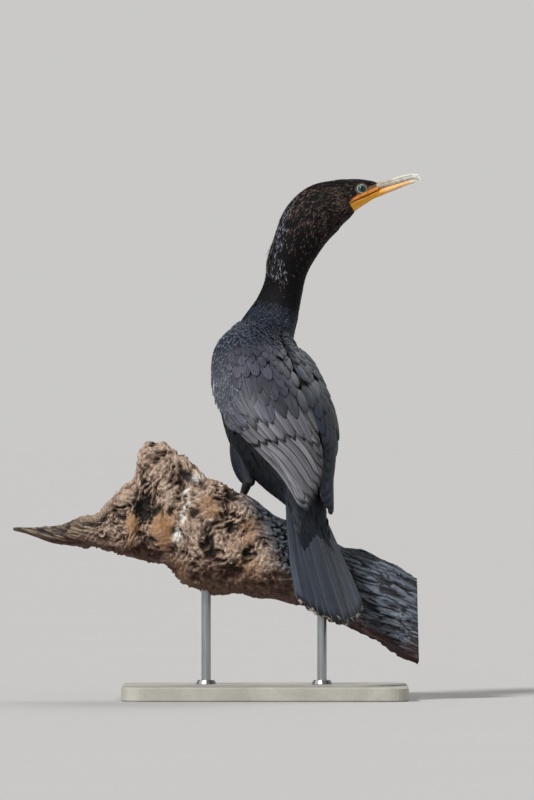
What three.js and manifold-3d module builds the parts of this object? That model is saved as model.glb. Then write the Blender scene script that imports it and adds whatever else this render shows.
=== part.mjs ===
// A life-size cormorant, perched with its back turned and its head over its right shoulder, on a cut length
// of weathered snag that a plain display stand holds up.
// Millimetres, +Z up. Seen from behind the bird, +X is to the right and +Y away. The origin is the middle of
// the base's underside.
import * as THREE from "three";
import { mergeVertices } from "three/addons/utils/BufferGeometryUtils.js";
import Module from "manifold-3d";

const wasm = await Module();
wasm.setup();

const GAP = 0.3; // what touching pieces keep between them
const rad = THREE.MathUtils.degToRad;
const vec = (x, y, z) => new THREE.Vector3(x, y, z);

// The body's long axis: where the tail springs from, and the way it points, up and away.
const TAIL_BASE = vec(41, -35, 220);
const BODY_YAW = 25; // degrees that the breast is turned to the left of straight away
const BODY_PITCH = 50.4; // degrees that the back rises
const BODY_TURN = 221; // heading, in degrees, of the bird's left side, which also rolls its left shoulder up
const TORSO_STEP = 30; // distance between the torso's measured sections
const AXIS = vec(
  -Math.sin(rad(BODY_YAW)) * Math.cos(rad(BODY_PITCH)),
  Math.cos(rad(BODY_YAW)) * Math.cos(rad(BODY_PITCH)),
  Math.sin(rad(BODY_PITCH)),
);

// The torso's sections, one each TORSO_STEP, from behind the tail base to the shoulders: half its width, its
// height above the axis to the back, and its depth below the axis to the breast. The shoulders come next.
const TORSO = [
  [20, 7, 12],
  [25, 17, 27],
  [36, 28, 43],
  [47, 34, 55],
  [54, 38, 60],
  [54, 39, 59],
  [50, 38, 53],
];
// The neck's and head's sections: middle, half width, height towards the nape, depth towards the throat, and
// the heading of the left side, which turns from the body's to the head's.
const NECK = [
  [vec(-4, 68, 359.5), 38, 33, 43, 219],
  [vec(1.5, 82.5, 384), 30, 28, 33, 212],
  [vec(11, 91, 407), 24.5, 24, 26, 195],
  [vec(18.5, 94, 430), 21, 24, 22, 170],
  [vec(24.5, 94, 453.5), 19.5, 26, 22, 140],
  [vec(34, 90, 477), 19, 27, 24, 112],
  [vec(46, 85, 499), 19, 30, 26.5, 98],
  [vec(61, 80.5, 515.5), 19, 28.5, 27, 92],
  [vec(79, 78, 525.5), 18, 22.5, 22, 90],
  [vec(92, 77.3, 530.5), 15.6, 18, 17, 90],
  [vec(102.5, 77, 534), 12.8, 14.2, 13.5, 90],
  [vec(111.5, 77, 536.3), 9.4, 10.2, 10.5, 90],
  [vec(119.5, 77, 537.6), 6.6, 6.6, 8, 90],
];
const BODY = [
  ...TORSO.map(([side, back, belly], i) => ({
    at: TAIL_BASE.clone().addScaledVector(AXIS, (i - 1) * TORSO_STEP),
    side,
    back,
    belly,
    turn: BODY_TURN,
  })),
  ...NECK.map(([at, side, back, belly, turn]) => ({ at, side, back, belly, turn })),
];
const TORSO_RINGS = 19; // facets of the torso's surface along it and round it
const TORSO_AROUND = 24;
const TORSO_START = 0.73; // where along BODY each piece begins and ends, counted in sections
const TORSO_END = 8.7;
const NECK_MIDDLE = 11.2;
const HEAD_START = 13.6;
const HEAD_END = BODY.length - 1;

// The head's fittings, on its middle plane at HEAD_Y.
const HEAD_Y = 77;
const EYE = { x: 101.9, z: 537.2, outward: 8.6, radius: 5.2 };
const LID = { radius: 5.0, tube: 1.0, outward: 11.6 };
const MOUTH = { gapeX: 88.5, gapeZ: 521.5, endX: 121, endZ: 536.2, height: 0.8, depth: 2.2 };
const POUCH = { at: vec(104, HEAD_Y, 520.5), size: vec(19, 15, 7.5), tilt: 24 };
// The bill's halves as sections from the face to the tip: middle, half width, height and depth.
const UPPER_BILL = [
  { at: vec(120, HEAD_Y, 540.2), side: 6.2, back: 4.2, belly: 3.4 },
  { at: vec(128.5, HEAD_Y, 543), side: 5.2, back: 3.9, belly: 3.4 },
  { at: vec(138, HEAD_Y, 545.9), side: 4.4, back: 3.6, belly: 3.6 },
  { at: vec(147, HEAD_Y, 548.6), side: 3.9, back: 3.6, belly: 3.4 },
  { at: vec(154.5, HEAD_Y, 550.2), side: 3.6, back: 3.2, belly: 2.8 },
  { at: vec(160, HEAD_Y, 549.9), side: 3.1, back: 3.1, belly: 2.6 },
  { at: vec(163.8, HEAD_Y, 547.4), side: 2, back: 2.2, belly: 1.7 },
  { at: vec(165.4, HEAD_Y, 543.6), side: 0.7, back: 0.7, belly: 0.7 },
];
const LOWER_BILL = [
  { at: vec(120, HEAD_Y, 533), side: 5.6, back: 2.9, belly: 3.7 },
  { at: vec(129, HEAD_Y, 536.1), side: 4.7, back: 2.9, belly: 3.2 },
  { at: vec(140, HEAD_Y, 539.8), side: 3.8, back: 2.4, belly: 2.5 },
  { at: vec(150, HEAD_Y, 543.2), side: 3.2, back: 1.9, belly: 1.9 },
  { at: vec(158.5, HEAD_Y, 545.2), side: 2.2, back: 1.2, belly: 1.4 },
];

// The folded wing: it lies on the torso from beside the tail to the shoulder. Its edges are given each 20 mm
// from WING.tip forwards, in degrees round from the back: the left wing's inner edge lies over the right's.
// The wing's body begins at WING.body: the left one's feathers reach further than that.
const WING = {
  tip: -40,
  step: 20,
  body: { left: -18, right: -38 },
  shoulder: 196,
  thickness: { left: 10, right: 8.5 },
  edge: 4,
};
const INNER_EDGE = {
  left: [20, 0, -18, -22, -16, -8, -2, 0, 1],
  right: [22, 14, 24, 28, 21, 12, 4, 2, 2],
};
const LOWER_EDGE = [40, 53, 67, 79, 88, 94, 98, 103, 108, 113, 117, 119, 120];
const VANE = 0.8; // thickness of a flight feather
// The flight feathers' tips, from the longest one inwards: how far along the body, and degrees round it.
const FLIGHT_TIPS = [[-38, 34], [-33, 25], [-27, 14], [-20, 3], [-12, -6], [-3, -13], [8, -16], [19, -15], [31, -10]];
// The tiers of a wing's feathers, from the tail forwards: how many, where the first and the last are rooted
// and end, their widths, and how far the root is sunk and the tip raised from the wing's surface.
const TIERS = [
  { count: 9, root: [[60, 87], [94, 30]], tips: FLIGHT_TIPS, width: [14, 17], sunk: 2.4, lift: 1.6 },
  { count: 6, root: [[104, 94], [118, 24]], tips: [[46, 82], [44, 14]], width: [18, 19], sunk: 1.6, lift: 2.2 },
];

// The tail: twelve feathers, the middle pair uppermost.
const TAIL_WAY = vec(0.25, -0.485, -0.842).normalize();
const TAIL = { feathers: 12, length: 166, outerShare: 0.86, rootSpread: 15, fan: 9, width: 17, step: 0.95 };
const TAIL_COVERTS = { count: 5, length: 46, width: 15, spread: 18 };

// The legs, in distances along the body's axis, to the side of it and below it.
const ANKLE = [42, 30, 46];
const THIGH = [
  [[116, 20, 16], 21],
  [[92, 25, 29], 22],
  [[72, 28.5, 39.5], 19],
  [[56, 30, 45.5], 13],
  [ANKLE, 6.4],
];
const FEET = { left: vec(-29, 32, 0), right: vec(26, 52, 0) }; // where each shank meets its toes
const TOES = [
  // length, degrees outwards from the body's heading, radius at the root
  [22, -118, 2.6],
  [40, -22, 2.9],
  [56, 3, 3.1],
  [62, 29, 3.1],
];
const CLAW = 10;
const WEB = 1.3;

// The snag, as sections across X: X, its top and underside, its near and far side, and where its crest runs.
const SNAG = [
  [-265, 180, 177, 29, 33, 31],
  [-222, 182, 164, 18, 44, 30],
  [-198, 190, 161, 9, 53, 30],
  [-174, 197, 158, 1, 62, 28],
  [-162, 210, 155, -3, 68, 26],
  [-148, 224, 152, -7, 74, 24],
  [-137, 234, 149, -10, 82, 22],
  [-132, 259, 147, -11, 86, 20],
  [-120, 270, 144, -13, 92, 16],
  [-102, 268, 136, -15, 100, 12],
  [-84, 255, 121, -17, 108, 8],
  [-66, 240, 112, -19, 116, 5],
  [-46, 227, 110, -20, 124, 3],
  [-24, 217, 109, -20, 128, 3],
  [0, 202, 107, -19, 128, 6],
  [19, 189, 103, -15, 124, 14],
  [40, 180, 97, -9, 114, 24],
  [64, 169, 87, -5, 96, 34],
  [88, 159, 75, -7, 78, 32],
  [114, 151, 61, -12, 62, 26],
  [140, 139, 46, -17, 56, 20],
  [160, 128, 35, -20, 52, 16],
];
// The hollow behind the snag's crest, where the feet stand: its height under the left foot, how it falls, and
// how far behind the crest it begins and how steep its walls are.
const HOLLOW = { height: 194, fallX: 0.23, fallY: 0.05, behindCrest: 7, leftX: -98, wall: 2.2 };
const LUMP = 3.2; // how far the weathered wood swells and sinks

const STAND = { x: 300, y: 216, height: 15, corner: 22, bevel: 1.5 };
const RODS = { left: vec(-62, 40, 0), right: vec(60, 38, 0) };
const ROD = { radius: 5, collar: 11, collarHeight: 4, intoSnag: 14 };

// A closed surface through rings of an even number of points, each end closed like the rungs of a ladder.
function loft(rings) {
  const around = rings[0].length;
  const faces = [];
  const end = (rings.length - 1) * around;
  for (let i = 0; i < around; i++) {
    const j = (i + 1) % around;
    for (let r = 0; r < rings.length - 1; r++) {
      const a = r * around;
      faces.push(a + i, a + j, a + around + j, a + i, a + around + j, a + around + i);
    }
  }
  for (let i = 0; i < around / 2 - 1; i++) {
    const [a, b, c, d] = [i, i + 1, around - 2 - i, around - 1 - i];
    faces.push(a, c, b, a, d, c, end + a, end + b, end + c, end + a, end + c, end + d);
  }
  const geometry = new THREE.BufferGeometry().setFromPoints(rings.flat());
  geometry.setIndex(faces);
  return geometry;
}

// A closed geometry as a solid, facing out whichever way its rings ran.
function solid(geometry) {
  const bare = geometry.clone();
  bare.deleteAttribute("normal");
  bare.deleteAttribute("uv");
  const merged = mergeVertices(bare, 1e-4);
  const triVerts = new Uint32Array(merged.index.array);
  const make = () => {
    const mesh = new wasm.Mesh({ numProp: 3, vertProperties: merged.attributes.position.array, triVerts });
    return new wasm.Manifold(mesh);
  };
  const made = make();
  if (made.volume() >= 0) return made;
  for (let i = 0; i < triVerts.length; i += 3) {
    [triVerts[i + 1], triVerts[i + 2]] = [triVerts[i + 2], triVerts[i + 1]];
  }
  return make();
}

const join = (solids) => solids.reduce((sum, s) => sum.add(s));

// The largest closed body of a solid, without its sealed hollows and loose scraps.
function largest(made) {
  const first = (solids) => solids.sort((a, b) => b.volume() - a.volume())[0];
  return first(solid(geometryOf(first(made.decompose()))).decompose());
}

function geometryOf(made) {
  const { vertProperties, triVerts, numProp } = made.getMesh();
  const geometry = new THREE.BufferGeometry();
  const interleaved = new THREE.InterleavedBuffer(vertProperties, numProp);
  const position = new Float32Array((vertProperties.length / numProp) * 3);
  for (let i = 0; i < position.length / 3; i++) {
    for (let k = 0; k < 3; k++) position[3 * i + k] = interleaved.array[i * numProp + k];
  }
  geometry.setAttribute("position", new THREE.BufferAttribute(position, 3));
  geometry.setIndex(new THREE.BufferAttribute(triVerts, 1));
  geometry.computeVertexNormals();
  return geometry;
}

// A solid without the room that another takes, and a gap more on the side that the way points to.
function clearOf(made, other, way) {
  const shift = way.clone().normalize().multiplyScalar(GAP + 0.05);
  return made.subtract(other).subtract(other.translate([shift.x, shift.y, shift.z]));
}

// A value of evenly counted sections, smooth between them.
function smooth(list, t, read) {
  const last = list.length - 1;
  const i = Math.min(last - 1, Math.max(0, Math.floor(t)));
  const f = t - i;
  const [a, b, c, d] = [i - 1, i, i + 1, i + 2].map((k) => read(list[Math.min(last, Math.max(0, k))]));
  const first = i === 0 ? 2 * b - c : a;
  const fourth = i === last - 1 ? 2 * c - b : d;
  return b + 0.5 * f * (c - first + f * (2 * first - 5 * b + 4 * c - fourth + f * (3 * (b - c) + fourth - first)));
}

const middleAt = (tube, t) => vec(...["x", "y", "z"].map((k) => smooth(tube, t, (s) => s.at[k])));

// A tube's own directions at t: along it, to its left and to its back.
function frameAt(tube, t) {
  const step = 0.02;
  const along = middleAt(tube, t + step).sub(middleAt(tube, t - step)).normalize();
  const turn = rad(smooth(tube, t, (s) => s.turn ?? 90));
  const left = vec(Math.cos(turn), Math.sin(turn), 0);
  left.addScaledVector(along, -left.dot(along)).normalize();
  return { middle: middleAt(tube, t), along, left, back: along.clone().cross(left) };
}

// A point on a tube's skin: t along it, an angle round it from the back to the left, and a height above it.
function skinPoint(tube, t, angle, height = 0) {
  const { middle, left, back } = frameAt(tube, t);
  const side = smooth(tube, t, (s) => s.side) + height;
  const deep = smooth(tube, t, (s) => (Math.cos(angle) > 0 ? s.back : s.belly)) + height;
  return middle.addScaledVector(left, Math.sin(angle) * side).addScaledVector(back, Math.cos(angle) * deep);
}

// A stretch of a tube as a closed solid.
function tubeSolid(tube, from, to, rings, around, height = 0) {
  const made = [];
  for (let r = 0; r <= rings; r++) {
    const t = from + ((to - from) * r) / rings;
    const ring = [];
    for (let i = 0; i < around; i++) ring.push(skinPoint(tube, t, (2 * Math.PI * i) / around, height));
    made.push(ring);
  }
  return solid(loft(made));
}

// A place in the body's own measures: along the axis from the tail base, to the left, and towards the back.
const sectionAt = (along) => along / TORSO_STEP + 1;
function bodyPlace(along, left, back) {
  const frame = frameAt(BODY, sectionAt(along));
  return frame.middle.addScaledVector(frame.left, left).addScaledVector(frame.back, back);
}

// A feather as a thin closed vane: rows along it, each given by its middle, the way across and the way out.
function vane(rows, thickness) {
  const rings = rows.map(({ at, across, out, half }) => {
    const corner = (side, rise) =>
      at.clone().addScaledVector(across, side * half).addScaledVector(out, rise * thickness);
    return [corner(-1, 0.5), corner(1, 0.5), corner(1, -0.5), corner(-1, -0.5)];
  });
  return solid(loft(rings));
}
const LONG_VANE = [
  // share of the length, share of the width
  [0, 0.5],
  [0.4, 1],
  [0.88, 0.8],
  [1, 0.2],
];
const SHORT_VANE = [
  [0, 0.6],
  [0.5, 1],
  [0.85, 0.8],
  [1, 0.2],
];

// A value of a list that is given each WING.step along the wing from its tip.
const wingEdge = (list, along) => {
  const t = Math.min(list.length - 1, Math.max(0, (along - WING.tip) / WING.step));
  return smooth(list, t, (value) => value);
};
const nameOf = (side) => (side > 0 ? "left" : "right");
const innerEdgeAt = (side, along) => wingEdge(INNER_EDGE[nameOf(side)], along);
const lowerEdgeAt = (along) => wingEdge(LOWER_EDGE, along);

// The height of the folded wing over the torso's skin.
function wingHeight(side, along, degrees) {
  const [inner, lower] = [innerEdgeAt(side, along), lowerEdgeAt(along)];
  const across = THREE.MathUtils.clamp((degrees - inner) / (lower - inner), 0, 1);
  const swell = Math.sin(Math.PI * (0.08 + 0.86 * across)) ** 0.8;
  const tip = 1 - THREE.MathUtils.smoothstep(along, -10, 70);
  const bend = 7 * Math.exp(-(((along - 182) / 28) ** 2) - ((degrees - 86) / 38) ** 2);
  const shoulder = THREE.MathUtils.clamp((WING.shoulder + 10 - along) / 30, 0.3, 1);
  const thickness = THREE.MathUtils.lerp(WING.thickness[nameOf(side)], 7.5, tip);
  const edge = THREE.MathUtils.lerp(WING.edge, 5.5, tip);
  return (edge + (thickness - edge) * swell + bend) * shoulder;
}
const wingPoint = (side, along, degrees, rise = 0) =>
  skinPoint(BODY, sectionAt(along), side * rad(degrees), wingHeight(side, along, degrees) + rise);

// The wing's body: a shell on the torso from its inner edge on the back to its lower edge. The room that the
// wing takes from its neighbour is the same shell, longer, wider and higher.
function wingShell(side, room = 0) {
  const rings = [];
  const steps = 10;
  const across = 7;
  const start = WING.body[nameOf(side)] - 34 * room;
  for (let r = 0; r <= steps; r++) {
    const along = start + ((WING.shoulder - start) * r) / steps;
    const rounding = THREE.MathUtils.clamp((WING.shoulder + 5 - along) / 34, 0, 1) ** 0.5;
    const wider = room * (5 + 12 * THREE.MathUtils.clamp((24 - along) / 44, 0, 1.3));
    const from = innerEdgeAt(side, along) + 1.5 - wider;
    const to = from + (lowerEdgeAt(along) - from) * (0.64 + 0.36 * rounding);
    const outer = [];
    const inner = [];
    for (let i = 0; i <= across; i++) {
      const degrees = from + ((to - from) * i) / across;
      outer.push(wingPoint(side, along, degrees, 14 * room));
      inner.unshift(skinPoint(BODY, sectionAt(along), side * rad(degrees), -8 - 2 * room));
    }
    rings.push([...outer, ...inner]);
  }
  return solid(loft(rings));
}

// One tier of feathers on a folded wing.
function wingTier(side, { count, root, tips, width, sunk, lift }) {
  const feathers = [];
  for (let i = 0; i < count; i++) {
    const share = i / (count - 1);
    const mix = (pair, k) => THREE.MathUtils.lerp(pair[0][k], pair[1][k], share);
    const tip = tips.length === count ? tips[i] : [mix(tips, 0) + 3 * Math.sin(2.4 * i), mix(tips, 1)];
    const shape = tips.length === count ? LONG_VANE : SHORT_VANE;
    const rows = shape.map(([along, wide]) => {
      const s = THREE.MathUtils.lerp(mix(root, 0), tip[0], along);
      const degrees = Math.max(innerEdgeAt(side, s) + 6, THREE.MathUtils.lerp(mix(root, 1), tip[1], along));
      const overlap = 0.5 * (share - 0.5); // the feathers nearer the back lie a little higher
      const here = wingPoint(side, s, degrees);
      const forward = wingPoint(side, s + 4, degrees).sub(here).normalize();
      const round = wingPoint(side, s, degrees + 4).sub(here).normalize();
      const out = forward.cross(round).multiplyScalar(side).normalize();
      const at = wingPoint(side, s, degrees, THREE.MathUtils.lerp(-sunk, lift, along ** 0.5) + overlap);
      return { at, out, half: 0.5 * THREE.MathUtils.lerp(width[0], width[1], share) * wide };
    });
    rows.forEach((row, k) => {
      const [behind, ahead] = [rows[Math.min(rows.length - 1, k + 1)], rows[Math.max(0, k - 1)]];
      row.across = row.out.clone().cross(ahead.at.clone().sub(behind.at)).normalize();
    });
    feathers.push(vane(rows, VANE));
  }
  return join(feathers);
}

// The torso with its wings' room, grown by a gap, that other pieces are cut back from.
const torsoSolid = (height = 0) =>
  tubeSolid(BODY, TORSO_START, TORSO_END - 0.006, TORSO_RINGS, TORSO_AROUND, height);
const torsoGrown = torsoSolid(GAP + 0.05).add(torsoSolid().translate(AXIS.clone().multiplyScalar(-GAP - 0.05).toArray()));

// The left wing has its tiers of feathers. The right one, half hidden under it, is one smooth form to its tip.
function makeWing(side) {
  const tiers = side > 0 ? TIERS : [];
  const feathered = join([wingShell(side), ...tiers.map((tier) => wingTier(side, tier))]);
  return largest(feathered.subtract(torsoGrown));
}

// The tail's directions: across it to the bird's left, and out of its upper side.
const tailOut = TAIL_WAY.clone().cross(frameAt(BODY, TORSO_START).left).negate().normalize();
const tailAcross = tailOut.clone().cross(TAIL_WAY).normalize();
const tailPlace = (down, left, out) =>
  bodyPlace(0, 0, -2).addScaledVector(TAIL_WAY, down).addScaledVector(tailAcross, left).addScaledVector(tailOut, out);

// A feather of the tail, from a place at its root, lying a little outwards.
function tailVane(start, degrees, length, width, droop, shape) {
  const angle = rad(degrees);
  const way = TAIL_WAY.clone().multiplyScalar(Math.cos(angle)).addScaledVector(tailAcross, Math.sin(angle));
  const across = tailAcross.clone().multiplyScalar(Math.cos(angle)).addScaledVector(TAIL_WAY, -Math.sin(angle));
  const rows = shape.map(([along, share]) => ({
    at: start.clone().addScaledVector(way, along * length).addScaledVector(tailOut, -droop * along),
    across,
    out: tailOut,
    half: 0.5 * width * share,
  }));
  return vane(rows, 0.62);
}

// The tail's feathers fan out from a block of coverts behind the rump.
function makeTail() {
  const block = [
    { at: bodyPlace(2, 0, 0), side: 27, back: 14, belly: 23, turn: BODY_TURN },
    { at: tailPlace(10, 0, -1), side: 25, back: 11, belly: 18, turn: BODY_TURN },
    { at: tailPlace(26, 0, -2.5), side: 22, back: 6.5, belly: 11, turn: BODY_TURN },
    { at: tailPlace(44, 0, -3.6), side: 20, back: 3.8, belly: 5, turn: BODY_TURN },
    { at: tailPlace(60, 0, -4), side: 18, back: 2.6, belly: 2.2, turn: BODY_TURN },
  ];
  const pieces = [tubeSolid(block, 0, block.length - 1, 6, 16)];
  for (let i = 0; i < TAIL.feathers; i++) {
    const place = (2 * i) / (TAIL.feathers - 1) - 1; // from -1 on the right to 1 on the left
    const outward = Math.abs(place);
    const length = TAIL.length * (1 - (1 - TAIL.outerShare) * outward ** 1.6);
    const layer = -TAIL.step * (outward * 5.5 - 0.5) - (place < 0 ? TAIL.step / 2 : 0);
    const start = tailPlace(0, place * TAIL.rootSpread, layer);
    pieces.push(tailVane(start, place * TAIL.fan, length, TAIL.width, 2.5 * outward, LONG_VANE));
  }
  for (let i = 0; i < TAIL_COVERTS.count; i++) {
    const place = (2 * i) / (TAIL_COVERTS.count - 1) - 1;
    const { length, width, spread } = TAIL_COVERTS;
    const start = tailPlace(16, place * spread, 6 - 4 * place ** 2);
    pieces.push(tailVane(start, place * 5, length * (1 - 0.15 * place ** 2), width, 4, SHORT_VANE));
  }
  return largest(join(pieces).subtract(torsoGrown));
}

// An ellipsoid as a closed geometry.
function ellipsoid(at, size, tilt = 0) {
  const ball = new THREE.SphereGeometry(1, 14, 9);
  ball.scale(size.x, size.y, size.z).rotateY(-rad(tilt)).translate(at.x, at.y, at.z);
  return solid(ball);
}

function ball(at, radius) {
  return ellipsoid(at, vec(radius, radius, radius));
}

const eyeAt = (side, outward) => vec(EYE.x, HEAD_Y + side * outward, EYE.z);

// The slit between the lips, from the bill back to the gape, on both sides.
function mouthSlit() {
  const length = Math.hypot(MOUTH.endX - MOUTH.gapeX, MOUTH.endZ - MOUTH.gapeZ);
  const slit = new THREE.BoxGeometry(length, 60, MOUTH.height);
  slit.rotateY(-Math.atan2(MOUTH.endZ - MOUTH.gapeZ, MOUTH.endX - MOUTH.gapeX));
  slit.translate((MOUTH.gapeX + MOUTH.endX) / 2, HEAD_Y, (MOUTH.gapeZ + MOUTH.endZ) / 2);
  const core = tubeSolid(BODY, HEAD_START, HEAD_END + 0.2, 8, 12, -MOUTH.depth);
  return solid(slit).subtract(core);
}

function makeHead() {
  const raw = tubeSolid(BODY, HEAD_START, HEAD_END, 15, 22);
  const lids = [-1, 1].map((side) => {
    const ring = new THREE.TorusGeometry(LID.radius, LID.tube, 5, 14);
    ring.rotateX(Math.PI / 2).rotateZ(-side * 0.28).translate(EYE.x, HEAD_Y + side * LID.outward, EYE.z);
    return solid(ring);
  });
  let head = join([raw, ...lids]).subtract(mouthSlit());
  for (const side of [-1, 1]) head = head.subtract(ball(eyeAt(side, EYE.outward), EYE.radius + GAP));
  const grown = ellipsoid(POUCH.at, POUCH.size.clone().addScalar(GAP), POUCH.tilt);
  return largest(head.subtract(grown));
}

function makePouch() {
  const raw = tubeSolid(BODY, HEAD_START, HEAD_END, 15, 22, 0.4);
  return largest(raw.intersect(ellipsoid(POUCH.at, POUCH.size, POUCH.tilt)).subtract(mouthSlit()));
}

// The face that the bill's halves are cut to, a gap in front of it.
const faceGrown = tubeSolid(BODY, HEAD_END - 2, HEAD_END, 8, 24, 0.8).translate([GAP + 0.05, 0, 0]);

// The upper bill has a groove along each side, in which the closed nostril lies.
function makeUpperBill() {
  const bill = tubeSolid(UPPER_BILL, -0.3, UPPER_BILL.length - 1, 14, 12).subtract(faceGrown);
  const grooves = [-1, 1].map((side) => {
    const groove = new THREE.CylinderGeometry(0.55, 0.55, 34, 6).rotateZ(-Math.PI / 2);
    groove.rotateZ(side * 0.075).rotateY(-0.28).translate(138, HEAD_Y + side * 4.75, 546.6);
    return solid(groove);
  });
  return largest(bill.subtract(grooves[0]).subtract(grooves[1]));
}

// The lower bill closes against the upper one, a gap below it.
function makeLowerBill() {
  const bill = tubeSolid(LOWER_BILL, -0.3, LOWER_BILL.length - 1, 10, 12).subtract(faceGrown);
  const upperGrown = tubeSolid(UPPER_BILL, -0.3, UPPER_BILL.length - 1, 14, 12, GAP);
  return largest(bill.subtract(upperGrown));
}

// The snag's skin at a share along it and an angle round it, with its lumps and the hollow for the feet.
function snagPoint(t, angle) {
  const [x, top, under, near, far, crest] = [0, 1, 2, 3, 4, 5].map((k) => smooth(SNAG, t, (row) => row[k]));
  const round = (value) => Math.sign(value) * Math.abs(value) ** 0.86;
  const slim = THREE.MathUtils.clamp((top - under) / 60, 0, 1);
  const swell = Math.sin(0.09 * x + 3 * angle) + 0.8 * Math.sin(0.17 * x - 2 * angle);
  const lump = LUMP * slim * (swell + 0.6 * Math.sin(5 * angle + 0.05 * x));
  const middle = (near + far) / 2;
  const rise = Math.max(0, Math.sin(angle)) ** 2;
  const y = middle - round(Math.cos(angle)) * ((far - near) / 2 + lump / 2) + (crest - middle) * rise;
  const z = (top + under) / 2 + round(Math.sin(angle)) * ((top - under) / 2 + lump / 3);
  const walls = Math.max(0, HOLLOW.leftX - x) + Math.max(0, crest + HOLLOW.behindCrest - y);
  const floor = HOLLOW.height - HOLLOW.fallX * (x - FEET.left.x) - HOLLOW.fallY * (y - FEET.left.y);
  return vec(x, y, Math.min(z, Math.max(floor + HOLLOW.wall * walls, under + 10)));
}

function snagSolid() {
  const rings = [];
  const steps = 30;
  const around = 22;
  for (let r = 0; r <= steps; r++) {
    const t = ((SNAG.length - 1) * r) / steps;
    const ring = [];
    for (let i = 0; i < around; i++) ring.push(snagPoint(t, (2 * Math.PI * i) / around));
    rings.push(ring);
  }
  return solid(loft(rings));
}

const snagWhole = snagSolid();
const snagMesh = new THREE.Mesh(geometryOf(snagWhole), new THREE.MeshBasicMaterial({ side: THREE.DoubleSide }));

// The height of the snag's upper side under a point.
function groundAt(x, y) {
  const hits = new THREE.Raycaster(vec(x, y, 600), vec(0, 0, -1)).intersectObject(snagMesh);
  return hits.length ? hits[0].point.z : HOLLOW.height - 60;
}

// The snag's underside above a point, for a rod.
function undersideAt(x, y) {
  return new THREE.Raycaster(vec(x, y, 0), vec(0, 0, 1)).intersectObject(snagMesh)[0].point.z;
}

function rodAt({ x, y }, grow = 0) {
  const top = undersideAt(x, y) + ROD.intoSnag + grow;
  const foot = STAND.height + GAP;
  const shaft = new THREE.CylinderGeometry(ROD.radius + grow, ROD.radius + grow, top - foot, 16);
  shaft.rotateX(Math.PI / 2).translate(x, y, (top + foot) / 2);
  const collar = new THREE.CylinderGeometry(ROD.collar - 2, ROD.collar, ROD.collarHeight, 16);
  collar.rotateX(Math.PI / 2).translate(x, y, foot + ROD.collarHeight / 2);
  return solid(shaft).add(solid(collar));
}

function makeBase() {
  const [x, y, r] = [STAND.x / 2 - STAND.bevel, STAND.y / 2 - STAND.bevel, STAND.corner];
  const outline = new THREE.Shape();
  outline.moveTo(-x + r, -y).lineTo(x - r, -y).absarc(x - r, -y + r, r, -Math.PI / 2, 0);
  outline.lineTo(x, y - r).absarc(x - r, y - r, r, 0, Math.PI / 2);
  outline.lineTo(-x + r, y).absarc(-x + r, y - r, r, Math.PI / 2, Math.PI);
  outline.lineTo(-x, -y + r).absarc(-x + r, -y + r, r, Math.PI, 1.5 * Math.PI);
  const { bevel, height } = STAND;
  const plate = new THREE.ExtrudeGeometry(outline, {
    depth: height - 2 * bevel,
    curveSegments: 4,
    bevelThickness: bevel,
    bevelSize: bevel,
    bevelSegments: 1,
  });
  return solid(plate.translate(0, 0, bevel));
}

// A tube through places, with a radius at each.
const tubeOf = (places, turn) => places.map(([at, side, deep = side]) => ({ at, side, back: deep, belly: deep, turn }));

function makeThigh(side) {
  const places = THIGH.map(([[along, out, below], radius]) => [bodyPlace(along, side * out, -below), radius]);
  const tube = tubeOf(places, BODY_TURN);
  return tubeSolid(tube, 0, tube.length - 1, 10, 14);
}

const heading = vec(-Math.sin(rad(BODY_YAW)), Math.cos(rad(BODY_YAW)), 0);
const ankleAt = (side) => bodyPlace(ANKLE[0], side * ANKLE[1], -ANKLE[2]);
const footAt = (side) => {
  const { x, y } = FEET[nameOf(side)];
  return vec(x, y, groundAt(x, y) + 5);
};

function makeShank(side) {
  const [top, foot] = [ankleAt(side), footAt(side)];
  const between = (share) => top.clone().lerp(foot, share);
  const places = [
    [between(0.0), 5, 5.8],
    [between(0.18), 4.4, 5.4],
    [between(0.5), 3.2, 4.4],
    [between(0.82), 3.4, 4.4],
    [between(1), 3.8, 4.2],
  ];
  return tubeSolid(tubeOf(places, BODY_TURN - 10), 0, places.length - 1, 6, 10);
}

// The highest ground within a distance of a point.
const groundAround = (x, y, reach) =>
  Math.max(...[[0, 0], [reach, 0], [-reach, 0], [0, reach], [0, -reach]].map(([i, j]) => groundAt(x + i, y + j)));

// A toe's line over the snag, from the foot's joint to its end, which bends down no more than a toe can.
const TOE_STEPS = 4;
function toePath(side, [length, outwards, radius]) {
  const start = footAt(side);
  const way = heading.clone().applyAxisAngle(vec(0, 0, 1), side * rad(outwards));
  const path = [[start, radius]];
  for (let i = 1; i <= TOE_STEPS; i++) {
    const at = start.clone().addScaledVector(way, (length * i) / TOE_STEPS);
    const thick = radius * (1 - (0.35 * i) / TOE_STEPS) + (i % 2 ? 0 : 0.3);
    const lowest = path[i - 1][0].z - 0.8 * (length / TOE_STEPS);
    at.z = Math.max(groundAround(at.x, at.y, thick) + thick + GAP, lowest);
    path.push([at, thick]);
  }
  return path;
}

// A toe with its claw, which curves down from the end.
function toeSolid(path) {
  const [tip, radius] = path[path.length - 1];
  const way = tip.clone().sub(path[path.length - 2][0]).normalize();
  const claw = (share, drop, thick) => {
    const at = tip.clone().addScaledVector(way, share * CLAW).add(vec(0, 0, -drop));
    return [at, radius * thick];
  };
  const places = [...path, claw(0.35, -0.9, 0.8), claw(0.75, -0.5, 0.5), claw(1, 0.9, 0.12)];
  return tubeSolid(tubeOf(places, BODY_TURN), 0, places.length - 1, places.length - 1, 6);
}

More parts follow.
